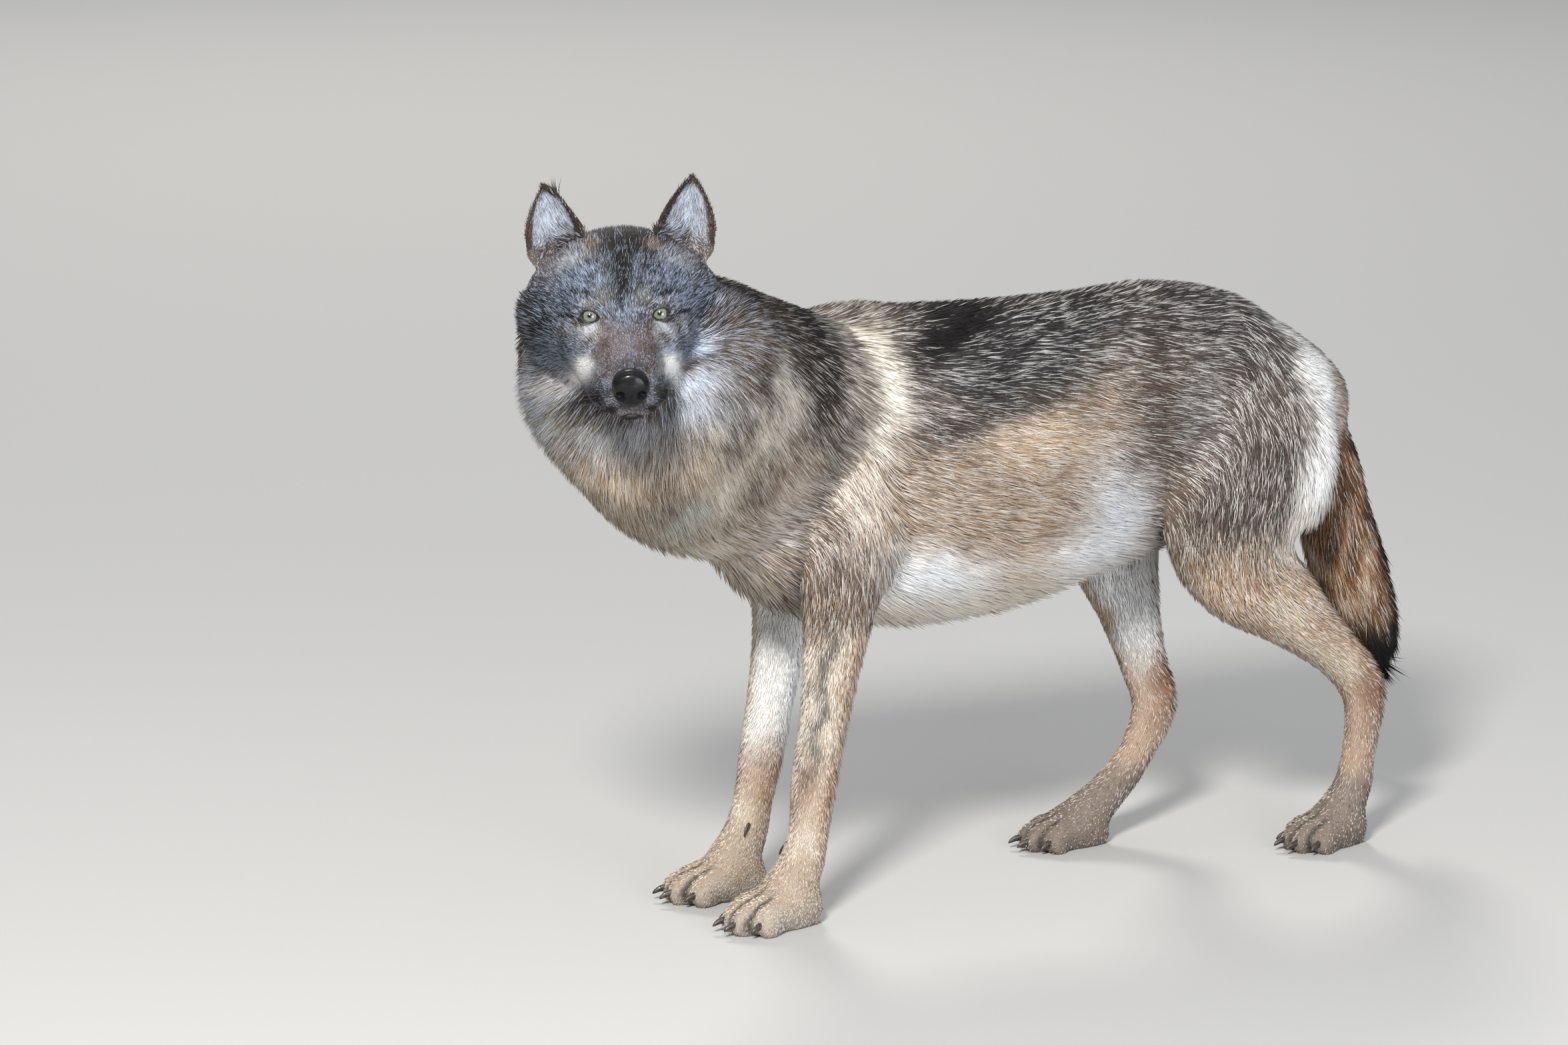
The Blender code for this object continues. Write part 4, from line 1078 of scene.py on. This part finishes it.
def bare_hide(mm):
    """1 on the bare black skin of the lids, tear marks, lips and mouth corners."""
    bare = np.zeros(len(mm))
    for sign in (-1, 1):
        arcs = unrolled(eye_places(mm, sign))
        tear = np.hypot(arcs[:, 1] + INNER_CORNER + 0.5, (arcs[:, 2] + 2.2) * 1.6) + 0.3
        corner = np.hypot((arcs[:, 1] - OUTER_CORNER - 4) * 0.3, arcs[:, 2] - 2.6) - 0.4
        near = np.minimum(np.minimum(lid_gap(arcs) + 0.4, tear), corner + 0.6) + off_lid(arcs)
        bare = np.maximum(bare, fall(near, 1.5, 2.2) * (arcs[:, 0] < 30))
    thick = 0.8 + 8.2 * fall(mm[:, 0], 80, 108) * ramp(mm[:, 0], 26, 50)
    from_line = abs(mm[:, 2] - mouth_line(mm) + 2.0)
    lips = fall(from_line, thick, thick + 2.0) * ramp(mm[:, 0], MOUTH_END - 2, MOUTH_END + 6)
    return np.clip(np.maximum(bare, lips * ((abs(mm[:, 1]) > 6) | (mm[:, 0] > 90))), 0, 1)


def value_points(obj, name, values):
    layer = obj.data.attributes.new(name, "FLOAT", "POINT")
    layer.data.foreach_set("value", np.clip(values, 0, 1).astype(np.float32).ravel())


def colour_points(obj, colours):
    layer = obj.data.attributes.new("markings", "FLOAT_COLOR", "POINT")
    both = np.concatenate([np.clip(colours, 0, 1), np.ones((len(colours), 1))], 1)
    layer.data.foreach_set("color", both.astype(np.float32).ravel())


skin_points = points_of(skin)
skin_hide = Hide(skin_points)
skin_marks = Markings(skin_hide)
skin_bare = bare_hide(skin_hide.mm)[:, None]
black_tips = skin_marks.black[:, None]
pale_tips = skin_marks.pale[:, None]
skin_colour = skin_marks.base * (1 - BLACK_SHOWS * black_tips - PALE_SHOWS * pale_tips)
skin_colour += BLACK_SHOWS * black_tips * SOOT + PALE_SHOWS * pale_tips * CREAM
colour_points(skin, UNDERCOAT_AND_SHADE * skin_colour * (1 - skin_bare) + BARE * skin_bare)
value_points(skin, "bare", skin_bare)
skin.data.materials.append(hide_finish())
skin.data.shade_smooth()
set_points(skin, skin_points + HOME)
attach(skin, "root")
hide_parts(*FLESH)

# ======================================================================== coat
# Guard hairs stand in small tufts, each a thin closed blade that leaves the hide and bends over
# to lie with the coat, banded, and dark at the root: partly the darker underfur and partly painted
# shade deep in the coat. Black, pale and plain tips vary by tuft.

rng = np.random.default_rng(7)
skin.data.calc_loop_triangles()
corners = read_rows(skin.data.loop_triangles, "vertices", np.int32, 3)
normals = read_rows(skin.data.vertices, "normal", np.float32, 3).astype(float)
corner_points = skin_points[corners]
first_side, second_side = [corner_points[:, k] - corner_points[:, 0] for k in (1, 2)]
areas = np.linalg.norm(np.cross(first_side, second_side), axis=1) / 2
ground = Hide(corner_points.mean(1))
BLADE = ((0, 2, 1), (3, 1, 2), (0, 1, 3), (0, 3, 2))   # root, two sides of the bend, tip
ROOT_DEPTH = 0.0015                    # of a tuft under the hide
BEND_AT = 0.40                         # of the way from root to tip
BEND_SHARE, LEAST_BEND = 0.10, 0.0003  # the bend stands out by this share of the rise, or this
STEEPEST = 0.42                        # most rise for a tuft's length
FLOOR_GAP = 0.0005                     # that tips keep from the floor
BRIGHTEST = 0.94                       # of any colour
FRINGE = 0.45                          # share of the belly's tufts that hang lower
PATCH = 0.003                          # of the coat's own map that one tuft takes
PATCH_PLACES = np.array([(0, 0.5), (0.4, 1), (0.4, 0), (1, 0.5)])


def head_length(mm):
    """Length of the hair on the head, in millimetres."""
    aside, low = abs(mm[:, 1]), -mm[:, 2]
    length = 3.5 + 4 * ramp(-mm[:, 0], -60, 0) + 7 * ramp(-mm[:, 0], 15, 80)
    length = length + 24 * ramp(aside, 62, 100) * ramp(-mm[:, 0], -10, 40)
    length = length + 24 * ramp(low, 70, 115) * ramp(-mm[:, 0], -50, 10)
    under_ear = ramp(mm[:, 2], -30, 10) * ramp(-mm[:, 0], 20, 45) * ramp(aside, 55, 75)
    length = length * (1 - 0.78 * under_ear)
    length = 2.5 + (length - 2.5) * ramp(eye_distance(mm), 0.5, 12)
    inner = 18 * ear_inside(mm) * (0.4 + 0.6 * ramp(-aside, -92, -66))
    return length + ear_share(mm) * (7 + inner - length)


def hair_length(hide):
    """Length of the tufts at a Hide's points, in metres."""
    x, z = hide.points[:, 0], hide.points[:, 2]
    fore = 5 + 4 * ramp(z, 0.03, 0.10) + 6 * ramp(z, 0.12, 0.30) + 22 * ramp(z, 0.33, 0.48)
    hind = 5 + 4 * ramp(z, 0.03, 0.10) + 7 * ramp(z, 0.18, 0.30) + 22 * ramp(z, 0.30, 0.48)
    hind = hind - 8 * ramp(x, 0.30, 0.38) * ramp(z, 0.45, 0.55)
    trunk = 36 + 16 * ramp(-z, -0.46, -0.38) - 14 * ramp(x, 0.33, 0.43)
    table = {"trunk": trunk, "neck": 52, "tail": 34 + 28 * ramp(-z, -0.60, -0.45),
             "head": head_length(hide.mm), "fore_left": fore, "fore_right": fore, "hind_left": hind,
             "hind_right": hind}
    length = sum(hide.part(name) * table[name] for name in PART_NAMES) / 1000
    aside, up = abs(hide.mm[:, 1]), hide.mm[:, 2]
    ear_root = ramp(aside, 90, 102) * ramp(up, 5, 25) * fall(up, 62, 80)
    ear_root = ear_root * ramp(hide.mm[:, 0], -135, -110)
    return length * (1 - 0.72 * ear_root)


def scatter(density, count):
    """Roots spread over the hide by area times density, and the hide's normals there."""
    share = areas * density
    picked = rng.choice(len(areas), count, p=share / share.sum())
    u, v = rng.random((2, count))
    flip = u + v > 1
    u, v = np.where(flip, 1 - u, u), np.where(flip, 1 - v, v)
    weights = np.stack([1 - u - v, u, v], 1)[..., None]
    return (corner_points[picked] * weights).sum(1), unit((normals[corners[picked]] * weights).sum(1))


def rolled_out(hide, parts):
    """Each root's place on the hide rolled flat, part beside part: along its axis and round it."""
    place = np.zeros((len(hide.points), 2))
    strongest = np.argmax([hide.part(name) for name in parts], axis=0)
    for number, name in enumerate(parts):
        chosen = strongest == number
        points = hide.points[chosen]
        if name == "head":
            mm = hide.mm[chosen]
            along = (mm[:, 0] + 165) / 305
            angle = np.arctan2(mm[:, 1], mm[:, 2] + 40)
        else:
            centres, _, way, _ = axis_of(name)
            near = np.stack([np.linalg.norm(points - c, axis=1) for c in centres], 1).argmin(1)
            offset = points - centres[near]
            step = np.linalg.norm(np.diff(centres, axis=0), axis=1)
            reached = np.concatenate([[0], np.cumsum(step)])
            turned = way[near] * AXES[name][1]
            along = (reached[near] + (offset * turned).sum(1)) / reached[-1]
            first = UP if name in ("trunk", "neck") else AHEAD
            first = unit(first - (turned @ first)[:, None] * turned)
            angle = np.arctan2((offset * np.cross(turned, first)).sum(1), (offset * first).sum(1))
        along = (number + np.clip(along, 0, 1)) / len(parts)
        place[chosen] = np.stack([along, angle / (2 * np.pi) + 0.5], 1)
    return 0.99 * place + 0.003


def hair_finish():
    """Each tuft's own colours, with a sheen that is duller in patches."""
    made, shade = finish_of("guard hair", Specular_IOR_Level=0.22)
    shade.feed("Base Color", shade.node("ShaderNodeAttribute", {"attribute_name": "markings"}))
    shade.feed("Roughness", 0.52 + 0.30 * shade.noise(250.0))
    return made


def map_corners(obj, name, places):
    """A flat map, with a place for each corner of each face."""
    layer = obj.data.uv_layers.new(name=name)
    layer.uv.foreach_set("vector", places.astype(np.float32).ravel())


hair = hair_finish()


def clumped(tips, roots, size, pull):
    """Tips drawn by a random part of a pull towards the mean of the tips rooted in the same cell."""
    wander = (mottle(roots, size, 31) - 0.5)[:, None]
    cell = np.floor(roots / size + 0.6 * wander).astype(np.int64)
    _, group = np.unique(cell @ (73856093, 19349663, 83492791), return_inverse=True)
    total = np.stack([np.bincount(group, tips[:, k]) for k in range(3)], 1)
    middle = (total / np.bincount(group)[:, None])[group]
    return tips + pull * rng.uniform(0.2, 1, (len(tips), 1)) * (middle - tips)


def along_hide(run, out):
    """The part of each run that lies in the hide."""
    return unit(run - (run * out).sum(1)[:, None] * out)


def blades(name, places, facing):
    """One mesh of closed blades of four points each, with a normal of its own at every point."""
    count, size = places.shape[:2]
    faces = (np.arange(count)[:, None, None] * size + np.array(BLADE)).reshape(-1, 3)
    mesh = bpy.data.meshes.new(name)
    mesh.vertices.add(count * size)
    mesh.vertices.foreach_set("co", places.astype(np.float32).ravel())
    mesh.loops.add(faces.size)
    mesh.loops.foreach_set("vertex_index", faces.astype(np.int32).ravel())
    mesh.polygons.add(len(faces))
    mesh.polygons.foreach_set("loop_start", np.arange(0, faces.size, 3, dtype=np.int32))
    mesh.update(calc_edges=True)
    mesh.normals_split_custom_set_from_vertices(facing.reshape(-1, 3))
    made = bpy.data.objects.new(name, mesh)
    bpy.context.scene.collection.objects.link(made)
    return made, faces


def coat(name, slot, density, count, width, parts, clump, stand, stray):
    """One joined mesh of tufts. Each runs along its bent line from root over the bend to the tip."""
    roots, out = scatter(density, count)
    keep = (bare_hide(in_head(roots)) < 0.3) & (eye_distance(in_head(roots)) > 1.6)
    roots, out = roots[keep], out[keep]
    hide = Hide(roots)
    n = len(roots)
    run = along_hide(hide.run, out)
    aside = np.cross(out, run)
    sway = (mottle(roots, 0.03, 21) - 0.5) * 0.5 + rng.normal(0, stray, n)
    run = unit(run + sway[:, None] * aside)
    own_eye = EYE_CENTRE * np.where(hide.mm[:, 1:2] < 0, (1, -1, 1), (1, 1, 1))
    from_eye = unit(roots - head_point(own_eye))
    inward = np.minimum((run * from_eye).sum(1), 0) * fall(eye_distance(hide.mm), 2.5, 6)
    run = unit(run - 1.3 * inward[:, None] * from_eye)
    run = along_hide(run, out)
    aside = np.cross(out, run)
    legs = hide.part(*LEGS)
    behind = legs * ramp(out[:, 0], 0.35, 0.9) * ramp(roots[:, 2], 0.10, 0.20)
    behind = behind * fall(roots[:, 2], 0.40, 0.5)
    under = hide.part("trunk") * ramp(-out[:, 2], 0.25, 0.75) * (rng.random(n) < FRINGE)
    long = (hair_length(hide) + 0.009 * behind + 0.010 * under) * rng.uniform(0.75, 1.15, n)
    lift = hide.depth * (1 + 0.5 * under) + 0.005 * behind + 0.008 * under
    rise = np.minimum(lift * stand * rng.uniform(0.6, 1.1, n), STEEPEST * long)
    reach = np.sqrt(np.maximum(long ** 2 - rise ** 2, 1e-9))
    tips = roots + reach[:, None] * run + rise[:, None] * out
    if clump:
        tips = clumped(tips, roots, 0.020, clump)
    tips[:, 2] = np.maximum(tips[:, 2], FLOOR_GAP)
    bend = np.maximum(BEND_SHARE * rise, LEAST_BEND)
    middle = roots + BEND_AT * (tips - roots) + bend[:, None] * out
    marks = Markings(Hide(roots + 0.6 * (tips - roots) - (0.6 * rise)[:, None] * out))
    patchy = 1.4 * (mottle(roots, 0.007, 41) - 0.5)
    chance = rng.random(n)[:, None]
    black = chance < (marks.black * (1 - patchy))[:, None]
    pale = chance > 1 - (marks.pale * (1 + patchy))[:, None]
    tone = rng.uniform(0.84, 1.16, n)[:, None] * (0.88 + 0.24 * mottle(roots, 0.018, 51)[:, None])
    base = marks.base * tone
    head = hide.part("head")[:, None]
    crisp = 0.62 + 0.18 * head - 0.10 * hide.part("neck")[:, None]
    # On the head the pale tips are painted cool blue: white hair with painted shade.
    white = np.maximum(IVORY + 0.85 * head * (COOL_SHADE_WHITE - IVORY), base)
    band = base + 0.7 * crisp * np.where(black, SOOT - base, np.where(pale, white - base, 0))
    tip = base + crisp * np.where(black, 1.15 * (BLACK - base), np.where(pale, white - base, 0.1 * base))
    half = 0.5 * (width * rng.uniform(0.7, 1.3, n) * np.clip(long / 0.02, 0.5, 1.1))[:, None]
    places = [roots - ROOT_DEPTH * out, middle + half * aside, middle - half * aside, tips]
    # Each root takes 0.60 of the base colour: darker underfur, and painted shade deep in the coat.
    colours = np.stack([0.60 * base, band, band, tip], 1)
    facing = [out - 0.3 * run, out + 0.5 * aside, out - 0.5 * aside, out + 0.35 * run]
    made, faces = blades(name, np.stack(places, 1) + HOME, unit(np.stack(facing, 1)))
    colour_points(made, np.minimum(colours.reshape(-1, 3), BRIGHTEST))
    spots = (rolled_out(hide, parts)[:, None] + PATCH * PATCH_PLACES).reshape(-1, 2)
    map_corners(made, "OFBake", spots[faces.ravel()])
    made.data.materials.append(hair)
    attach(made, "root")


neck_part, trunk_part = ground.part("neck"), ground.part("trunk")
left_side = (ground.points[:, 1] < 0) * 1.0
right_side = 1 - left_side
ears = ear_share(ground.mm)
in_front = ramp(ground.mm[:, 0], -50, -22)
on_muzzle = ramp(ground.mm[:, 0], 20, 50)
face = ground.part("head") * in_front * (1 - ears)
cheeks = ground.part("head") * (1 - in_front) * (1 - ears)

# Each piece: slot, where its roots are, how many, widest, the parts that its map unrolls, then how
# far its tips draw together, how high it stands and how far its hairs stray.
COATS = {
    "coat_muzzle": ("fur_head", face * on_muzzle, 32000, 0.0004, ["head"], 0.0, 1.0, 0.18),
    "coat_face": ("fur_head", face * (1 - on_muzzle), 49000, 0.0005, ["head"], 0.0, 1.0, 0.2),
    "coat_cheeks": ("fur_head", cheeks, 45000, 0.0006, ["head"], 0.25, 1.1, 0.16),
    "coat_ears": ("fur_ear", ears, 14000, 0.0006, ["head"], 0.0, 1.0, 0.16),
    "coat_neck_left": ("fur_neck", neck_part * left_side, 42000, 0.0006, ["neck"], 0.45, 1.2, 0.12),
    "coat_neck_right": ("fur_neck", neck_part * right_side, 32000, 0.0008, ["neck"], 0.4, 1.2, 0.12),
    "coat_trunk_left": ("fur_trunk", trunk_part * left_side, 46000, 0.0008, ["trunk"], 0.2, 1.05, 0.12),
    "coat_trunk_right": ("fur_trunk", trunk_part * right_side, 34000, 0.0009, ["trunk"], 0.2, 1.05, 0.12),
    "coat_forelegs": ("fur_leg", ground.part(*FORELEGS), 29000, 0.0008, FORELEGS, 0.0, 1.0, 0.16),
    "coat_hind_legs": ("fur_leg", ground.part(*HIND_LEGS), 36000, 0.0009, HIND_LEGS, 0.0, 1.0, 0.16),
    "coat_tail": ("fur_tail", ground.part("tail"), 15000, 0.0010, ["tail"], 0.35, 1.1, 0.16),
}
for name, details in COATS.items():
    coat(name, *details)

# ======================================================================== eyes
# Glassy balls with a grey-green iris, a dark ring round it and a small round pupil. The pattern
# follows each ball's own rings, which are drawn round the middle of the pupil.

PUPIL, IRIS = 2.5, 8.9                 # radii in millimetres
GAZE = unit(np.array([0.93, -0.06, 0.36]))
EYE_RINGS, EYE_AROUND = 40, 48
FLATTER, CORNEA, CORNEA_REACH = 0.985, 0.05, 0.55      # of the radius, and where the cornea fades
INK = (0.003, 0.003, 0.004)
RING_SCALE = 20.0                      # millimetres along the ball that the pattern spans


def iris_finish():
    """Rings by the distance from the pupil's middle, broken by fine fibres that run across them."""
    made, shade = finish_of("iris", Roughness=0.15, Coat_Weight=1.0, Coat_Roughness=0.02)
    own = shade.node("ShaderNodeUVMap", {"uv_map": "rings"})
    turn = shade.node("ShaderNodeSeparateXYZ", sockets={0: own}, output=0)
    ring = shade.node("ShaderNodeSeparateXYZ", sockets={0: own}, output=1)
    across = shade.node("ShaderNodeCombineXYZ", sockets={0: 90.0 * turn, 1: 3.0 * ring})
    fibre = shade.node("ShaderNodeTexNoise", sockets={"Vector": across, "Scale": 1.0, "Detail": 3.0})
    pupil, rim = PUPIL / RING_SCALE, IRIS / RING_SCALE
    stops = [(0.0, INK), (pupil, INK),
             (pupil + 0.015, tint(70, 66, 46)), (pupil + 0.06, tint(98, 102, 82)),
             (rim - 0.08, tint(100, 110, 94)), (rim - 0.03, tint(62, 72, 68)),
             (rim + 0.01, tint(24, 20, 16)), (rim + 0.06, tint(46, 34, 30))]
    shade.feed("Base Color", shade.node("ShaderNodeValToRGB", {"stops": stops},
                                        {0: ring + 0.05 * (fibre - 0.5)}))
    return made


iris = iris_finish()
for side, name in ((1, "eye_left"), (-1, "eye_right")):
    t = np.linspace(0, np.pi, EYE_RINGS)[:, None]
    turn = np.linspace(0, 2 * np.pi, EYE_AROUND, endpoint=False)[None]
    level = unit(np.cross(GAZE, (0, 0, 1.0)))
    high = np.cross(level, GAZE)
    bulge = FLATTER + CORNEA * np.exp(-(t / CORNEA_REACH) ** 2)
    spokes = np.cos(turn)[..., None] * level + np.sin(turn)[..., None] * high
    ball = bulge[..., None] * (np.cos(t)[..., None] * GAZE + np.sin(t)[..., None] * spokes)
    ball = head_point(EYE_CENTRE * (1, side, 1) + EYE_RADIUS * ball) + HOME
    eye = new_object(name + "_ball", ball, grid_faces(EYE_RINGS, EYE_AROUND))
    looped = read_rows(eye.data.loops, "vertex_index", np.int32, 1)[:, 0]
    ring_of = np.repeat(t[:, 0], EYE_AROUND)[looped] * EYE_RADIUS / RING_SCALE
    turn_of = np.tile(turn[0] / (2 * np.pi), EYE_RINGS)[looped]
    map_corners(eye, "rings", np.stack([turn_of, ring_of], 1))
    outwards(eye)
    eye.data.materials.append(iris)
    eye.data.shade_smooth()
    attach(eye, "root")
    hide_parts(name)

# ======================================================================== nose
# A black moist pad of pebbled leather, with a comma-shaped nostril on each side and a groove
# down its middle. It sits in the front of the muzzle.

# Stations: ahead, top, widest height, bottom, half width.
NOSE = [
    (104, -44, -46, -62, 10),
    (108, -30, -45, -68, 19),
    (118, -25, -43, -71, 21.5),
    (128, -26, -43, -68, 20.5),
    (134, -30, -44, -62, 15),
    (136.5, -40, -45, -51, 5),
]
NOSE_RINGS, NOSE_AROUND = 60, 72
NOSTRIL_ASIDE, NOSTRIL_HEIGHT = 12.5, -52.5
PIT, SLIT, GROOVE = 8.0, 4.0, 2.0       # depths in millimetres


def leather_finish():
    """Black leather, moist and pebbled, but dry and dull within the nostrils."""
    made, shade = finish_of("nose leather", Base_Color=(*INK, 1), Coat_Roughness=0.15,
                            Specular_IOR_Level=0.12)
    place = shade.node("ShaderNodeTexCoord", output=3)
    pebble = shade.node("ShaderNodeTexVoronoi", sockets={"Vector": place, "Scale": 900.0})
    dry = shade.node("ShaderNodeAttribute", {"attribute_name": "nostril"}, output=2)
    shade.feed("Coat Weight", 0.32 - 0.32 * dry)
    shade.feed("Roughness", 0.34 + 0.25 * pebble)
    shade.bump(pebble, 0.3, 0.0005, sunk=True)
    return made


pad = head_rings([(a, 0, m, t - m, m - b, w) for a, t, m, b, w in NOSE], NOSE_RINGS, NOSE_AROUND)
nostril = np.zeros(pad.shape[:2])
for side in (-1, 1):
    across, up = side * pad[..., 1] - NOSTRIL_ASIDE, pad[..., 2] - NOSTRIL_HEIGHT
    pit = np.exp(-((across / 5.4) ** 2 + (up / 4.6) ** 2) ** 1.5)
    slit = np.exp(-((across - 6.5) / 4.5) ** 2 - ((up + 3.0 - 0.35 * (across - 6.5)) / 2.0) ** 2)
    share = (pad[..., 0] > 110) * (side * pad[..., 1] > 0)
    pad[..., 0] -= (PIT * pit + SLIT * slit) * share
    nostril = np.maximum(nostril, np.maximum(pit, slit) * share)
pad[..., 0] -= GROOVE * np.exp(-(pad[..., 1] / 1.5) ** 2) * (pad[..., 2] < -42)
nose = outwards(new_object("nose_pad", head_point(pad) + HOME, grid_faces(NOSE_RINGS, NOSE_AROUND)))
value_points(nose, "nostril", 1.3 * nostril)
nose.data.materials.append(leather_finish())
nose.data.shade_smooth()
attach(nose, "root")
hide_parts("nose")

# ======================================================================== claws
# Eighteen blunt dark horn claws: four on each paw and a dewclaw inside each wrist. Each is a
# tapered tube that curves down from under the hair of its toe.

CLAW_LENGTH = 0.022
CLAW_HALF = (0.0050, 0.0038)           # half height and half width at the root
DEWCLAW_AHEAD, DEWCLAW_HEIGHT = -0.012, 0.100      # ahead of the wrist's axis, over the floor
DEWCLAW_SIZE = 0.6
# Each station along a claw: share of its length, drop in millimetres and share of its thickness.
CLAW_STEPS = ((-0.15, 0, 0.9), (0, 0, 1), (0.35, 0.5, 0.92),
              (0.7, 2.8, 0.68), (0.92, 5.6, 0.4), (1, 7.0, 0.15))


def claw_form(start, ahead, whole=1.0):
    """Stations along a claw: length times a step, less a drop in millimetres, times a size."""
    high, wide = whole * np.array(CLAW_HALF)
    rows = [(*(start + whole * (ahead * CLAW_LENGTH * step - UP * drop / 1000)),
             high * size, high * size, wide * size, 0) for step, drop, size in CLAW_STEPS]
    return tube("claw_form", rings_along(rows, UP, 14, 16))


def horn_finish():
    """Dark horn streaked along, a little browner and duller in patches."""
    made, shade = finish_of("claw horn", Coat_Weight=0.15)
    grain = shade.noise(420.0, 3.0)
    stops = [(0.35, tint(26, 22, 20)), (0.7, tint(72, 60, 50))]
    shade.feed("Base Color", shade.node("ShaderNodeValToRGB", {"stops": stops}, {0: grain}))
    shade.feed("Roughness", 0.32 + 0.3 * grain)
    shade.bump(grain, 0.3, 0.0004)
    return made


claw_tubes, claw_names = [], []
for leg in LEGS:
    origin, axes, scale = paw_frame(leg)
    for number, (tip, aside, knuckle, root) in enumerate(TOES, 1):
        lean = (aside - root) / (tip - knuckle)
        start = origin + np.array([tip - 0.010, aside - lean * 0.010, 0.0165]) * scale @ axes
        claw_tubes.append(claw_form(start + HOME, unit(axes[0] + lean * axes[1])))
        claw_names.append(f"claw_{leg}_{number}")
    if "fore" in leg:
        inner = 1 if "left" in leg else -1
        wrist = smooth_rows(LEGS[leg], 40)
        at = wrist[np.argmin(abs(wrist[:, 2] - DEWCLAW_HEIGHT))]
        start = at[:3] + np.array([DEWCLAW_AHEAD, inner * (at[5] - 0.004), 0])
        way = unit(np.array([-0.75, inner * 0.35, -0.75]))
        claw_tubes.append(claw_form(start + HOME, way, DEWCLAW_SIZE))
        claw_names.append(f"claw_{leg}_dew")
claws = outwards(joined("claws", claw_tubes))
claws.data.materials.append(horn_finish())
claws.data.shade_smooth()
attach(claws, "root")
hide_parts(*claw_names)

# ======================================================================== whiskers
# Stiff dark bristles in rows on the upper lip. Each is a thin tapered tube that leaves the hide
# and curves back.

WHISKER_RADIUS, WHISKER_BEND = 0.00022, 0.45
WHISKER_PLACES = ((108, 33, -58), (101, 36, -64), (110, 32, -66), (94, 38, -58),
                  (88, 40, -66), (100, 36, -72), (92, 39, -73), (115, 29, -72))
WHISKER_ROOTS = [(a, side * b, c) for side in (-1, 1) for a, b, c in WHISKER_PLACES]


def whisker(number, root):
    """A line bent back by the square of the way along it, with a radius that falls to nothing."""
    turned = np.random.default_rng(number)
    way = unit(np.array([0.25, 1.0 * np.sign(root[1]), -0.1]) + turned.normal(0, 0.12, 3))
    length = turned.uniform(36, 56)
    t = np.linspace(0, 1, 8)[:, None]
    path = np.array(root) + length * (t * way + WHISKER_BEND * t ** 2 * np.array([-1, 0, -0.15]))
    radius = WHISKER_RADIUS * (1.05 - t)
    rows = np.concatenate([head_point(path) + HOME, np.repeat(radius, 3, 1), np.zeros((8, 1))], 1)
    return tube("whisker_form", rings_along(rows, UP, 10, 4))


whiskers = joined("whiskers", [whisker(k, root) for k, root in enumerate(WHISKER_ROOTS)])
bristle, shade = finish_of("bristle", Roughness=0.4)
bristle_stops = [(0.3, tint(22, 19, 18)), (0.7, tint(58, 52, 48))]
shade.feed("Base Color", shade.node("ShaderNodeValToRGB", {"stops": bristle_stops}, {0: shade.noise(60.0)}))
whiskers.data.materials.append(bristle)
whiskers.data.shade_smooth()
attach(whiskers, "root")

# ======================================================================== floor, light, camera
# A wide pale floor that turns up far away, a warm key high over the camera, a broad cool fill low
# on its right and a light from behind for the edge of the coat.

TARGET = np.array([-0.34057, 0.0, 0.49081]) + HOME
CAMERA_TURN, CAMERA_RISE, CAMERA_AWAY = np.radians(-28.0), np.radians(12.0), 7.0
FLOOR_FLAT, FLOOR_TURN = 22.0, 12.0     # radius of the flat, and of the turn up round it
FLAT_RINGS, FLOOR_AROUND = 8, 64

lift = np.linspace(0, np.pi / 2, 16)[1:]
flat = np.linspace(0.5, FLOOR_FLAT, FLAT_RINGS)
reach = np.concatenate([flat, FLOOR_FLAT + FLOOR_TURN * np.sin(lift)])
raised = np.concatenate([np.zeros(FLAT_RINGS), FLOOR_TURN * (1 - np.cos(lift))])
turn = np.linspace(0, 2 * np.pi, FLOOR_AROUND, endpoint=False)
bowl = np.stack([reach[:, None] * np.cos(turn), reach[:, None] * np.sin(turn),
                 np.repeat(raised[:, None], FLOOR_AROUND, 1)], -1)
floor = new_object("floor", bowl, grid_faces(len(reach), FLOOR_AROUND)[:-1])
plain, _ = finish_of("floor", Base_Color=(0.42, 0.415, 0.405, 1), Roughness=0.85)
floor.data.materials.append(plain)
floor.data.shade_smooth()

world = bpy.data.worlds.new("studio")
world.use_nodes = True
world.node_tree.nodes["Background"].inputs["Color"].default_value = (0.86, 0.92, 1.0, 1)
world.node_tree.nodes["Background"].inputs["Strength"].default_value = 0.50
bpy.context.scene.world = world


def soft_light(name, place, size, power, colour):
    """A round area light that faces the middle of the picture."""
    light = bpy.data.lights.new(name, "AREA")
    light.shape, light.size, light.energy, light.color = "DISK", size, power, colour
    made = bpy.data.objects.new(name, light)
    made.location = place
    made.rotation_euler = Vector(TARGET - np.array(place)).to_track_quat("-Z", "Y").to_euler()
    bpy.context.scene.collection.objects.link(made)


soft_light("key", (-3.4, -3.8, 4.2), 1.2, 600, (1.0, 0.98, 0.95))
soft_light("fill", (0.0, -5.0, 1.0), 3.0, 190, (0.9, 0.94, 1.0))
soft_light("rim", (3.0, 9.0, 7.5), 3.0, 700, (1.0, 0.97, 0.92))
bpy.context.scene.view_settings.view_transform = "Standard"

sight = bpy.data.cameras.new("camera")
sight.lens, sight.sensor_width = 130, 36
camera = bpy.data.objects.new("camera", sight)
away = np.array([np.sin(CAMERA_TURN) * np.cos(CAMERA_RISE), -np.cos(CAMERA_TURN) * np.cos(CAMERA_RISE),
                 np.sin(CAMERA_RISE)])
camera.location = TARGET + CAMERA_AWAY * away
camera.rotation_euler = (np.pi / 2 - CAMERA_RISE, 0, CAMERA_TURN)
bpy.context.scene.collection.objects.link(camera)
bpy.context.scene.camera = camera
